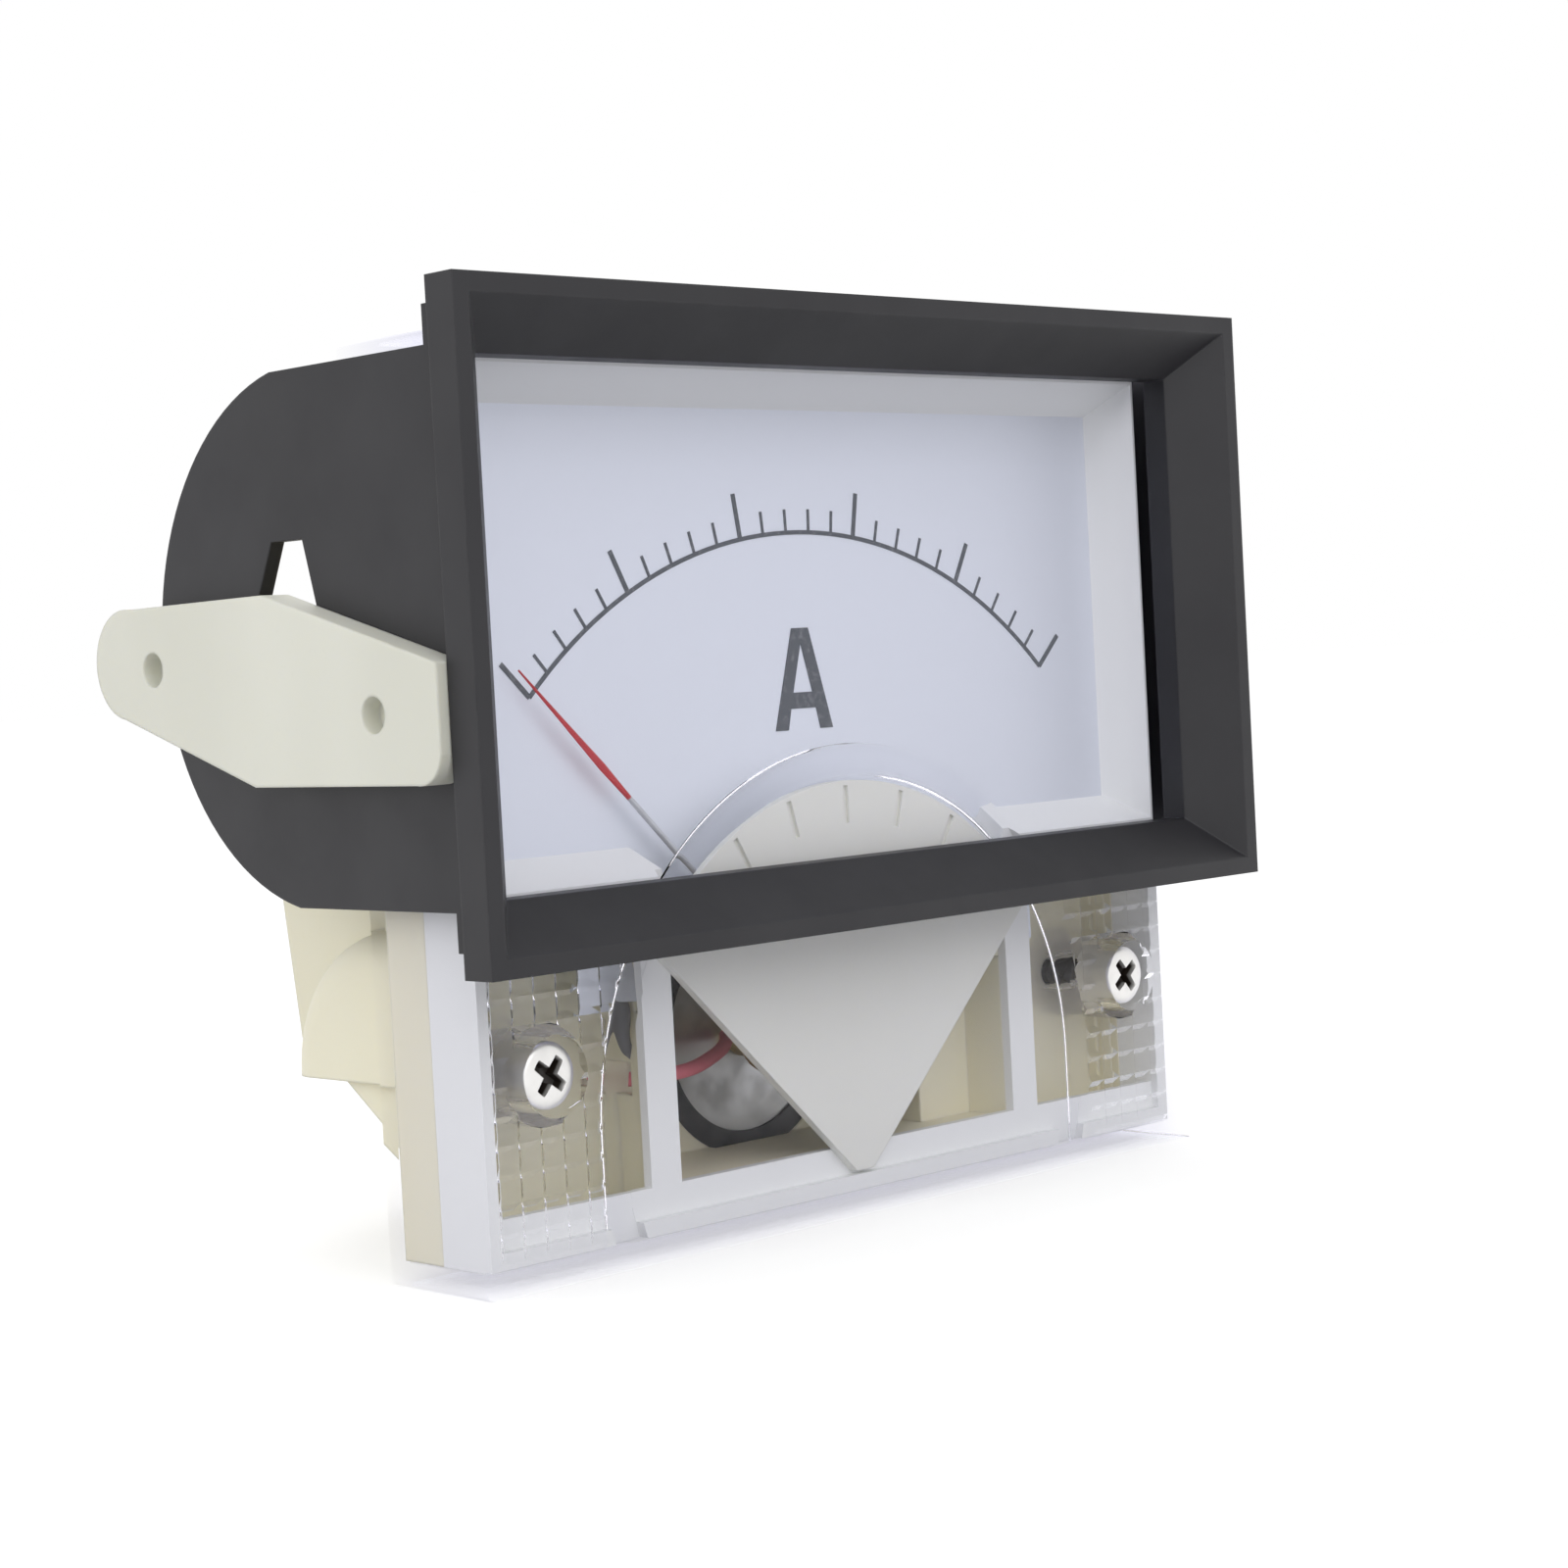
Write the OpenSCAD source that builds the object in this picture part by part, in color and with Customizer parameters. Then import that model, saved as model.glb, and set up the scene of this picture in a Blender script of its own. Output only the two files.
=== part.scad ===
// Flush-mounting analog panel meter with a moving coil and a core magnet.
// Millimetres. X runs to the right as the dial is read, Y runs back through the
// panel and Z is up. The origin is the centre of the panel cut-out, on the
// panel's front face, where the bezel's flange seats.

/* [Bezel] */
// Width of the bezel's flange
bezel_w = 107; // [105.5:0.5:108]
// Height of the bezel's flange
bezel_h = 60; // [59:0.5:61]
// Thickness of the flange in front of the panel
flange_t = 3.7; // [3.2:0.1:4.2]
// Width of the flat rim round the bezel's front
rim_w = 1.7; // [1.2:0.1:2.2]
// Width of the window
window_w = 94.9; // [93:0.1:95]
// Height of the window
window_h = 47.4; // [46:0.1:47.6]

/* [Clamping] */
// Height of the two side cheeks
cheek_h = 49; // [46:0.5:50]
// Radius of the cheeks' round rear end
cheek_r = 25; // [24.6:0.1:26]
// Distance from the panel's face to the centre of that round end
cheek_round_y = 21.1; // [20:0.1:22]
// Length of a clamp bracket, end to end
bracket_l = 54; // [50:0.5:54]
// Thickness of a clamp bracket's plate
bracket_t = 3; // [2.4:0.1:3.4]
// Angle at which the brackets stand, front end low
bracket_tilt = 8.5; // [5:0.5:10]

/* [Body] */
// Width of the clear cover
cover_w = 99.6; // [98:0.1:99.7]
// Top of the clear cover above the window's centre line
cover_top = 26.2; // [25:0.1:27]
// Bottom of the clear cover below the window's centre line
cover_bottom = -59; // [-61:0.1:-58.5]
// Wall thickness of the clear cover
cover_t = 2; // [1.6:0.1:2]
// Depth of the housing behind the panel's face
housing_y = 46.3; // [45:0.1:50]

/* [Dial] */
// Height of the pointer's pivot
pivot_z = -42; // [-42.5:0.1:-41.5]
// Radius of the scale's arc about the pivot
scale_r = 50.4; // [49.5:0.1:51]
// Angle that the scale covers
scale_span = 90; // [88:1:90]
// Number of main divisions
main_divisions = 5; // [4:1:6]
// Fine divisions in each main one
fine_divisions = 5; // [4:1:5]

/* [Terminals] */
// Distance between the two terminal studs
stud_spacing = 50; // [44:1:54]
// Diameter of a stud's thread
stud_d = 5; // [4:0.5:6]
// Length of a stud behind the housing
stud_reach = 16; // [12:1:20]

/* [Hidden] */
$fn = 64;
eps = 0.02;

// Bezel
window_y = 1.27;                       // where the sloping bevel ends
collar_w = 103;
collar_h = 56;
collar_y = 3.2;
channel_y = 1;
wall = 1.5;
cheek_in = 50;                         // inner face of a cheek
cheek_out = cheek_in + wall;

// Clamp brackets: neck, cross head inside the cheek, plate outside it
neck_y = 26.3;
neck_z = -4.5;
neck_r = 3.8;
head_half = 7.6;
head_w = 6.4;
head_x = 48.2;
gap = 0.08;                            // play between pieces that move
bracket_in = cheek_out + gap;
bracket_mid_h = 17.6;
bracket_end_h = 10.6;
foot_y = 0.2;                          // front end of a bracket, just clear of the flange
peg_pitch = 34.4;                      // between the two sunk holes of a bracket
peg_r = 1.65;

// Cover
cover_y = 4.1;
body_y = 17.9;                         // rear face of the base's flange
pane_y = cover_y + cover_t;
cover_in = cover_w / 2 - cover_t;
screw_x = 40.6;
screw_z = -40.2;
boss_r = 4.7;
arch_r = 34.3;                         // moulded bead round the movement
arch_w = 3.3;
arch_z = -47;
bead_h = 1;
hatch_pitch = 2.61;                    // crossed grooves moulded beside the bead
hatch_w = 1.3;
hatch_d = 0.6;
hatch_x = 47;
hatch_top = -27.5;
hatch_rows = 11;
hatch_columns = 6;

// Mask, dial and base
fit = 0.1;                             // gap between the cover and what it holds
mask_w = 2 * (cover_in - fit);
mask_top = cover_top - cover_t - fit;
mask_bottom = cover_bottom + cover_t + fit;
dial_y = 11.08;
dial_t = 0.5;
dial_w = 93;
sight_x = 45;                          // the dial's visible half width
sight_top = 20.5;
sight_bottom = -21;
ear_x = 25.1;
ear_w = 7;
ear_z = -35.4;
print_t = 0.08;
base_rim_y = 12.3;
base_floor_y = 15.7;
bar_x = 23.6;                          // frame round the movement's compartment
bar_w = 3.8;
bar_y = 7.25;
bar_t = 1.05;
sill_z = -53.2;                        // top of the compartment's lower wall
well_t = 1.2;                          // the compartment's own walls, behind that frame

// Housing behind the flange
tub_top = 2;
tub_bottom = -42.5;
tub_top_x = 41.5;
tub_bottom_x = 38;
tub_t = 2;
tub_corner = 4;
barrel_r = 14.8;
barrel_y = 43;
pocket_r = 11;                         // round pocket behind the yoke's well
pocket_y = 41;
lobe_r = 14;                           // lobes at the housing's lower corners
lobe_y = 24.8;
lobe_x = 45.5;
lobe_w = 9;
lobe_edge = 4;
gusset_z = -50.5;

// Movement
yoke_y = 22.5;
yoke_l = 12;
yoke_r = 12.6;
yoke_bore = 10.3;
core_r = 7.2;
core_y = yoke_y + 3;
core_l = 8;
coil_in = 8;
coil_w = 5;
coil_t = 0.5;
coil_front = core_y - 0.7;
coil_back = core_y + core_l + 0.7;
staff_r = 0.55;
pointer_y = 9.3;
front_tip = 8.2;
rear_tip = coil_back + 3.6;
disc_t = 0.9;
front_disc_y = yoke_y + 0.3;
rear_plate_y = yoke_y + yoke_l;
rear_disc_y = rear_tip - 0.6;
jewel_r = 1.1;
bridge_screw_r = 8.75;
spring_r_front = 4.6;
spring_r_rear = 4;
front_spring_y = 18.6;
rear_spring_y = coil_back + 1.6;
stud_z = -12;

// ---------------------------------------------------------------- helpers

// Places children on the pivot's axis, with their own Z along the row's +Y.
module on_pivot(y = 0) {
    translate([0, y, pivot_z]) rotate([-90, 0, 0]) children();
}

// Extrudes an outline drawn as (X, Z) from y back over a depth.
module slab(y, depth) {
    translate([0, y + depth, 0]) rotate([90, 0, 0]) linear_extrude(depth) children();
}

// Extrudes an outline drawn as (Y, Z) from x over a thickness.
module side_slab(x, thickness) {
    translate([x, 0, 0]) rotate([90, 0, 90]) linear_extrude(thickness) children();
}

// A box between two corners.
module box(low, high) {
    translate(low) cube(high - low);
}

// A rod along Y.
module rod(x, z, y0, y1, r) {
    translate([x, y0, z]) rotate([-90, 0, 0]) cylinder(r = r, h = y1 - y0);
}

// Repeats children on the right and, mirrored, on the left.
module both_sides() {
    children();
    mirror([1, 0, 0]) children();
}

// A rectangle about the origin with round corners.
module soft_rectangle(w, h, r) {
    union() {
        square([w - 2 * r, h], center = true);
        square([w, h - 2 * r], center = true);
        for (sx = [-1, 1], sz = [-1, 1])
            translate([sx * (w / 2 - r), sz * (h / 2 - r)]) circle(r = r);
    }
}

// A six-sided bar along Y.
module hex(x, z, y, across, depth) {
    translate([x, y, z]) rotate([-90, 0, 0]) cylinder(d = across / cos(30), h = depth, $fn = 6);
}

// ---------------------------------------------------------------- bezel

// The bevel that slopes from the front rim back to the window.
module bevel_void() {
    front_w = bezel_w - 2 * rim_w;
    front_h = bezel_h - 2 * rim_w;
    y0 = -flange_t;
    polyhedron(
        points = [
            for (s = [[front_w, front_h, y0], [window_w, window_h, window_y]])
                for (c = [[-1, -1], [1, -1], [1, 1], [-1, 1]])
                    [c[0] * s[0] / 2, s[2], c[1] * s[1] / 2]
        ],
        faces = [[3, 2, 1, 0], [4, 5, 6, 7], [0, 1, 5, 4], [1, 2, 6, 5], [2, 3, 7, 6], [3, 0, 4, 7]]
    );
}

// A cheek's outline: straight edges that end in a round of cheek_r.
module cheek_outline() {
    corner_y = cheek_round_y + sqrt(pow(cheek_r, 2) - pow(cheek_h / 2, 2));
    union() {
        translate([collar_y - 1, -cheek_h / 2]) square([corner_y - collar_y + 1, cheek_h]);
        intersection() {
            translate([cheek_round_y, 0]) circle(r = cheek_r, $fn = 128);
            translate([collar_y, -cheek_h / 2]) square([cheek_round_y + cheek_r, cheek_h]);
        }
    }
}

// The slot that a bracket's cross head is put through, over a round seat for the neck.
module cheek_slot() {
    union() {
        polygon([[22.5, 9.1], [27.3, 9.1], [31.2, 1.3], [29.7, -3], [22.9, -3], [20.4, 1.3]]);
        translate([neck_y, neck_z]) circle(r = neck_r + gap);
    }
}

module bezel_frame() {
    color("#313035") union() {
        difference() {
            union() {
                slab(-flange_t, flange_t) square([bezel_w, bezel_h], center = true);
                slab(-eps, collar_y + eps) square([collar_w, collar_h], center = true);
                slab(0, cover_y) square([window_w + 2 * wall, window_h + 2 * wall], center = true);
            }
            slab(window_y - eps, cover_y) square([window_w, window_h], center = true);
            translate([0, -eps, 0]) bevel_void();
            // cored channel between the collar and the window's wall
            slab(channel_y, cover_y) difference() {
                square([collar_w - 2 * wall, collar_h - 2 * wall], center = true);
                square([window_w + 2 * wall, window_h + 2 * wall], center = true);
            }
        }
        both_sides() side_slab(cheek_in, wall) difference() {
            cheek_outline();
            cheek_slot();
        }
    }
}

// ---------------------------------------------------------------- clamp brackets

// A bracket's plate, drawn about its neck: widest in the middle, the rear end round and the
// front end cut parallel to the panel, with one round corner.
module bracket_outline() {
    half = bracket_l / 2;
    end_h = bracket_end_h / 2;
    toe_r = 3;
    lean = tan(bracket_tilt);
    front = -(neck_y - foot_y) / cos(bracket_tilt);
    toe_x = front - lean * (end_h - toe_r) + toe_r / cos(bracket_tilt);
    union() {
        polygon([
            [front - lean * (end_h - toe_r), toe_r - end_h], [front + lean * end_h, end_h + 0.3],
            [0, bracket_mid_h / 2], [half - end_h, end_h], [half - end_h, -end_h],
            [0, -bracket_mid_h / 2], [toe_x, -end_h]
        ]);
        translate([half - end_h, 0]) circle(r = end_h);
        translate([toe_x, toe_r - end_h]) circle(r = toe_r);
    }
}

// One bracket on the right-hand cheek.
module clamp_bracket() {
    translate([0, neck_y, neck_z]) rotate([bracket_tilt, 0, 0]) {
        difference() {
            side_slab(bracket_in, bracket_t) bracket_outline();
            for (s = [-1, 1]) translate([bracket_in + 1, s * peg_pitch / 2, 0])
                rotate([0, 90, 0]) cylinder(r = peg_r, h = bracket_t);
        }
        translate([head_x + 1, 0, 0]) rotate([0, 90, 0]) cylinder(r = neck_r, h = bracket_in - head_x);
        side_slab(head_x, cheek_in - gap - head_x) intersection() {
            circle(r = head_half);
            square([2 * head_half, head_w], center = true);
        }
    }
}

module right_clamp_bracket() {
    color("#e4e4da") clamp_bracket();
}

module left_clamp_bracket() {
    color("#e4e4da") mirror([1, 0, 0]) clamp_bracket();
}

// ---------------------------------------------------------------- clear cover

// Section of the bead, a flat segment of a circle, from radius r0 outwards.
module bead_section(r0) {
    crown_r = (pow(arch_w / 2, 2) + pow(bead_h, 2)) / (2 * bead_h);
    translate([r0, 0]) intersection() {
        translate([arch_w / 2, bead_h - crown_r]) circle(r = crown_r);
        translate([-1, -eps]) square([arch_w + 2, bead_h + 1]);
    }
}

// The bead: an arch over two straight legs on the inner face of the pane.
module cover_bead() {
    leg = arch_z - cover_bottom - cover_t;
    translate([0, pane_y, arch_z]) {
        rotate([-90, 0, 0]) rotate([0, 0, 180]) rotate_extrude(angle = 180, $fn = 128)
            bead_section(arch_r - arch_w);
        both_sides() translate([0, 0, -leg]) linear_extrude(leg) bead_section(arch_r - arch_w);
    }
}

// A V groove in the pane's inner face, along X from the origin.
module groove(length) {
    lip = 0.1;
    edge = hatch_w / 2 + lip;
    rotate([90, 0, 90]) linear_extrude(length) polygon([[-hatch_d, 0], [lip, -edge], [lip, edge]]);
}

// Crossed grooves between the bead and the right-hand edge of the pane.
module cover_hatching() {
    reach = arch_r + 0.2;
    hatch_bottom = hatch_top - hatch_rows * hatch_pitch;
    for (i = [0 : hatch_rows]) {
        z = hatch_top - i * hatch_pitch;
        x = sqrt(pow(reach, 2) - pow(max(z - arch_z, 0), 2));
        translate([x, pane_y, z]) groove(hatch_x - x);
    }
    for (i = [0 : hatch_columns]) {
        x = hatch_x - i * hatch_pitch;
        z = x > reach ? hatch_bottom : arch_z + sqrt(pow(reach, 2) - pow(x, 2));
        translate([x, pane_y, z]) rotate([0, -90, 0]) groove(hatch_top - z);
    }
}

module clear_cover() {
    color("#c4c4e4", 0.35) difference() {
        union() {
            difference() {
                translate([0, 0, (cover_top + cover_bottom) / 2]) slab(cover_y, body_y - cover_y)
                    soft_rectangle(cover_w, cover_top - cover_bottom, 0.8);
                box([-cover_in, pane_y, cover_bottom + cover_t], [cover_in, body_y + 1, cover_top - cover_t]);
            }
            cover_bead();
            both_sides() rod(screw_x, screw_z, pane_y - eps, base_floor_y, boss_r);
        }
        difference() {
            both_sides() cover_hatching();
            both_sides() rod(screw_x, screw_z, cover_y, base_floor_y, boss_r);
        }
        both_sides() {
            rod(screw_x, screw_z, cover_y - 1, 10.5, 3.75);
            rod(screw_x, screw_z, 10, base_floor_y + 1, 1.7);
        }
    }
}

// Two cross-head screws, sunk in the cover's bosses.
module cover_screws() {
    color("#8d8a86") both_sides() difference() {
        union() {
            rod(screw_x, screw_z, 8.7, 10.5, 2.9);
            rod(screw_x, screw_z, 10.4, 27, 1.4);
        }
        for (a = [45, 135]) translate([screw_x, 8.4, screw_z]) rotate([0, a, 0])
            box([-1.7, 0, -0.4], [1.7, 1.2, 0.4]);
    }
}

// ---------------------------------------------------------------- mask and dial

// The funnel from the window's outline back to the visible dial.
module funnel_void() {
    y0 = pane_y;
    y1 = dial_y + 0.01;
    polyhedron(
        points = [
            for (s = [
                [window_w / 2, -window_h / 2, window_h / 2, y0],
                [sight_x, sight_bottom, sight_top, y1]
            ])
                for (c = [[-1, 0], [1, 0], [1, 1], [-1, 1]])
                    [c[0] * s[0], s[3], c[1] == 0 ? s[1] : s[2]]
        ],
        faces = [[3, 2, 1, 0], [4, 5, 6, 7], [0, 1, 5, 4], [1, 2, 6, 5], [2, 3, 7, 6], [3, 0, 4, 7]]
    );
}

module dial_mask() {
    front = pane_y + fit;
    partition = -24.9;
    color("#eceee8") difference() {
        union() {
            // upper box, solid round the funnel
            box([-mask_w / 2, front, partition], [mask_w / 2, dial_y, mask_top]);
            difference() {
                box([-mask_w / 2, front, mask_bottom], [mask_w / 2, base_rim_y, partition + 1]);
                box([-mask_w / 2 + wall, front - 1, mask_bottom + wall], [mask_w / 2 - wall, 20, partition]);
                box([-mask_w, dial_y, partition], [mask_w, 20, 0]);
            }
            // skirt that stands on the base's rim round the dial
            difference() {
                box([-mask_w / 2, dial_y - 1, partition], [mask_w / 2, base_rim_y, mask_top]);
                box([-dial_w / 2 - 0.2, dial_y, partition - 1], [dial_w / 2 + 0.2, 20, mask_top - 0.8]);
            }
            // flat frame round the movement's compartment
            both_sides() box([bar_x, bar_y, mask_bottom], [bar_x + bar_w, bar_y + bar_t, partition + 1]);
            box([1 - mask_w / 2, bar_y, mask_bottom], [mask_w / 2 - 1, bar_y + bar_t, sill_z + 0.6]);
        }
        funnel_void();
        // gap in the funnel's lower wall for the pointer and the shield
        slab(front - 1, 10) polygon([[-24.6, -20.9], [24.6, -20.9], [23.4, -25.1], [-23.4, -25.1]]);
        // room for the cover's bead
        slab(front - 1, bead_h + 1.1) translate([0, arch_z]) difference() {
            circle(r = arch_r + 0.2, $fn = 128);
            circle(r = arch_r - arch_w - 0.2, $fn = 128);
        }
    }
}

module dial_plate() {
    foot = -23.2;
    color("#ced5e7") slab(dial_y, dial_t) union() {
        polygon([
            [-dial_w / 2, 22.5], [dial_w / 2, 22.5], [dial_w / 2, foot], [22, foot], [13, -30],
            [-13, -30], [-22, foot], [-dial_w / 2, foot]
        ]);
        // two ears that reach down beside the compartment's walls
        both_sides() translate([ear_x, ear_z]) square([ear_w, foot - ear_z + 1]);
    }
}

// One graduation, standing on the arc at an angle from the vertical.
module tick(angle, length, width) {
    rotate(-angle) translate([-width / 2, scale_r]) square([width, length]);
}

// The letter that names the unit, drawn about its foot.
module unit_letter() {
    stroke = 1.75;
    difference() {
        polygon([[-4, 0], [-1.15, 10.1], [1.15, 10.1], [4, 0]]);
        polygon([[-4 + stroke, -eps], [-1.75, 2.1], [1.75, 2.1], [4 - stroke, -eps]]);
        polygon([[-1.35, 3.7], [0, 8.6], [1.35, 3.7]]);
    }
}

module scale_print() {
    count = main_divisions * fine_divisions;
    line = 0.42;
    color("#5d636b") slab(dial_y - print_t, print_t) {
        translate([0, pivot_z]) {
            intersection() {
                difference() {
                    circle(r = scale_r + line / 2, $fn = 180);
                    circle(r = scale_r - line / 2, $fn = 180);
                }
                polygon([[0, 0], [-60, 60 / tan(scale_span / 2)], [-60, 90], [60, 90],
                         [60, 60 / tan(scale_span / 2)]]);
            }
            for (i = [0 : count]) {
                major = i % fine_divisions == 0;
                tick(-scale_span / 2 + i * scale_span / count, major ? 4.5 : 2.3, major ? 0.5 : 0.3);
            }
        }
        translate([-0.4, -11.2]) unit_letter();
    }
}

// The pie-shaped shield that hides the pointer's hub, with short ribs along its arc.
module hub_shield() {
    apex_z = -55.6;
    half_angle = 46;
    arc_z = -47.5;
    arc_r = 31.1;
    color("#ecebe2") difference() {
        slab(pane_y + fit, bar_y - pane_y - fit) union() {
            intersection() {
                translate([0, arc_z]) circle(r = arc_r, $fn = 128);
                polygon([[-1.2, apex_z + 0.6], [1.2, apex_z + 0.6],
                         [36, apex_z + 36 / tan(half_angle)], [36, 0], [-36, 0],
                         [-36, apex_z + 36 / tan(half_angle)]]);
            }
            translate([0, apex_z + 2.2]) circle(r = 1.65);
        }
        for (a = [-30 : 15 : 30]) translate([0, pane_y + fit, arc_z]) rotate([0, a, 0])
            box([-0.3, -0.1, arc_r - 4.2], [0.3, 0.35, arc_r - 0.5]);
    }
}

// ---------------------------------------------------------------- rear base

// The housing behind the flange, wider at the top, with round corners.
module tub_solid(y, depth) {
    r = tub_corner;
    slab(y, depth) union() {
        polygon([[-tub_top_x, tub_top - r], [-tub_top_x + r, tub_top],
                 [tub_top_x - r, tub_top], [tub_top_x, tub_top - r],
                 [tub_bottom_x, tub_bottom + r], [tub_bottom_x - r, tub_bottom],
                 [-tub_bottom_x + r, tub_bottom], [-tub_bottom_x, tub_bottom + r]]);
        for (s = [-1, 1]) {
            translate([s * (tub_top_x - r), tub_top - r]) circle(r = r);
            translate([s * (tub_bottom_x - r), tub_bottom + r]) circle(r = r);
        }
    }
}

// Section of a lobe, as (distance across, height), with its outer edge rounded.
module lobe_section() {
    union() {
        square([lobe_w, lobe_r - lobe_edge]);
        square([lobe_w - lobe_edge, lobe_r]);
        translate([lobe_w - lobe_edge, lobe_r - lobe_edge]) circle(r = lobe_edge);
    }
}

// The lobe at the housing's lower right corner, a quarter round seen from the side, and the
// gusset that carries it to the flange.
module corner_lobe() {
    foot_z = tub_bottom + 1;
    translate([lobe_x - lobe_w, lobe_y, foot_z]) {
        rotate([90, 0, 90]) rotate_extrude(angle = 90, $fn = 96)
            mirror([1, -1, 0]) lobe_section();
        rotate([90, 0, 0]) linear_extrude(lobe_y - body_y + eps) lobe_section();
    }
    side_slab(lobe_x - lobe_w, lobe_w - 1) polygon([
        [body_y - eps, foot_z + 1], [lobe_y + 5.7, foot_z + 1], [lobe_y + 5.7, foot_z],
        [body_y - eps, gusset_z]
    ]);
}

module rear_base() {
    color("#efe9cd") difference() {
        union() {
            // flange with its raised rim
            box([-mask_w / 2, base_rim_y, mask_bottom], [mask_w / 2, body_y, mask_top]);
            box([-bar_x - well_t, bar_y + bar_t, sill_z - well_t],
                [bar_x + well_t, base_rim_y + eps, -36.5]);
            tub_solid(body_y - eps, housing_y - body_y + eps);
            // block that holds the movement, and the round barrel behind it
            box([-bar_x - 2, body_y - eps, mask_bottom + 0.6], [18.5, yoke_y + 2, -27]);
            rod(0, pivot_z, body_y, barrel_y, barrel_r);
            both_sides() corner_lobe();
        }
        // the flange's hollow front, left standing round the posts of the dial
        difference() {
            box([-mask_w / 2 + 1.8, base_rim_y - 1, mask_bottom + 1.8],
                [mask_w / 2 - 1.8, base_floor_y, mask_top - 1.8]);
            for (x = [-36, 36], z = [-16, 16]) rod(x, z, base_rim_y - 2, base_floor_y + 1, 2.4);
            box([16, base_rim_y - 2, sill_z - well_t], [bar_x + well_t, base_floor_y + 1, -28]);
            box([-bar_x - well_t, base_rim_y - 2, sill_z - well_t], [16, base_floor_y + 1, -28]);
        }
        // compartment, its shelf on the right, and the yoke's well
        box([-bar_x, bar_y, sill_z], [16, yoke_y, -28]);
        box([0, bar_y, sill_z], [bar_x, base_rim_y + 1.2, -28]);
        box([-bar_x - well_t - 1, base_rim_y, -44.6], [-bar_x + 1, base_floor_y, -41.4]);
        rod(0, pivot_z, yoke_y - 1, yoke_y + yoke_l, yoke_r + 0.05);
        rod(0, pivot_z, yoke_y, pocket_y, pocket_r);
        // space for the shunt behind the dial
        box([-36, base_floor_y - 1, -25], [36, housing_y - tub_t, -1.5]);
        // screw and stud holes
        both_sides() {
            rod(screw_x, screw_z, base_floor_y - 1, 28, 1.4);
            rod(stud_spacing / 2, stud_z, housing_y - tub_t - 1, housing_y + 1, stud_d / 2 + 0.05);
        }
    }
}

// ---------------------------------------------------------------- moving system

module pointer() {
    rest = -scale_span / 2;
    color("#c8323a") translate([0, pointer_y, pivot_z]) rotate([0, rest, 0]) union() {
        difference() {
            union() {
                rotate([-90, 0, 0]) translate([0, 0, -0.6]) cylinder(r = 1.8, h = 1.2);
                // tail and cross arms that carry the balance weights
                for (a = [90, 180, 270]) rotate([0, a, 0]) cylinder(r = 0.3, h = 6.2, $fn = 16);
                // thin tube, then the flat lance
                cylinder(r = 0.3, h = 36.6, $fn = 24);
            }
            rotate([-90, 0, 0]) translate([0, 0, -2]) cylinder(r = staff_r, h = 4);
        }
        slab(-0.12, 0.24) polygon([[-0.3, 36], [-0.7, 40.7], [-0.12, 54], [0.12, 54], [0.7, 40.7], [0.3, 36]]);
    }
}

// Sleeves on the tail and the cross arms: the tail's is the heavy one.
module balance_weights() {
    color("#b8b4a8") translate([0, pointer_y, pivot_z]) rotate([0, -scale_span / 2, 0])
        for (a = [90, 180, 270]) {
            tail = a == 180;
            rotate([0, a, 0]) translate([0, 0, tail ? 3.4 : 4.2]) difference() {
                cylinder(r = tail ? 1.45 : 0.7, h = tail ? 2.8 : 1.6);
                translate([0, 0, -1]) cylinder(r = 0.3, h = 5, $fn = 16);
            }
        }
}

// Front and rear half staffs, each ending in a fine pivot.
module pivot_staffs() {
    pivot_l = 0.5;
    color("#c9cdd2") {
        on_pivot() {
            translate([0, 0, front_tip + pivot_l]) cylinder(r = staff_r, h = coil_front - front_tip - pivot_l);
            translate([0, 0, front_tip]) cylinder(r = 0.2, h = pivot_l + eps);
            translate([0, 0, coil_back]) cylinder(r = staff_r, h = rear_tip - pivot_l - coil_back);
            translate([0, 0, rear_tip - pivot_l - eps]) cylinder(r = 0.2, h = pivot_l + eps);
        }
    }
}

// A rectangular loop round the core, at the angle that the coil has at rest.
module coil_loop(inner, thickness, width, back) {
    on_pivot() rotate([0, 0, -scale_span / 2]) difference() {
        translate([-inner - thickness, -width / 2, coil_front - back])
            cube([2 * (inner + thickness), width, coil_back - coil_front + 2 * back]);
        translate([-inner, -width, coil_front - back + thickness])
            cube([2 * inner, 2 * width, coil_back - coil_front + 2 * (back - thickness)]);
    }
}

module coil_former() {
    color("#bfc3c8") coil_loop(coil_in, 0.4, coil_w, 0);
}

module coil_winding() {
    color("#b5622e") difference() {
        coil_loop(coil_in + 0.4, 0.8, coil_w - 1.4, 0.8);
        on_pivot() translate([0, 0, 5]) cylinder(r = 0.9, h = 40);
    }
}

// A flat spiral of thin strip; its inner turn is a collet round the staff.
module hairspring(y, turns, r1) {
    r0 = 1.1;
    steps = 24 * turns;
    function edge(i, side) = let (a = 360 * i / 24, r = r0 + (r1 - r0) * i / steps + side)
        [r * cos(a), r * sin(a)];
    on_pivot(y) {
        linear_extrude(0.4) polygon(concat(
            [for (i = [0 : steps]) edge(i, -0.07)],
            [for (i = [steps : -1 : 0]) edge(i, 0.07)]
        ));
        difference() {
            cylinder(r = r0, h = 0.9);
            translate([0, 0, -1]) cylinder(r = staff_r + 0.06, h = 3);
        }
    }
}

module front_hairspring() {
    color("#c08a3e") hairspring(front_spring_y, 4, spring_r_front);
}

module rear_hairspring() {
    color("#c08a3e") hairspring(rear_spring_y, 3, spring_r_rear);
}

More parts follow.
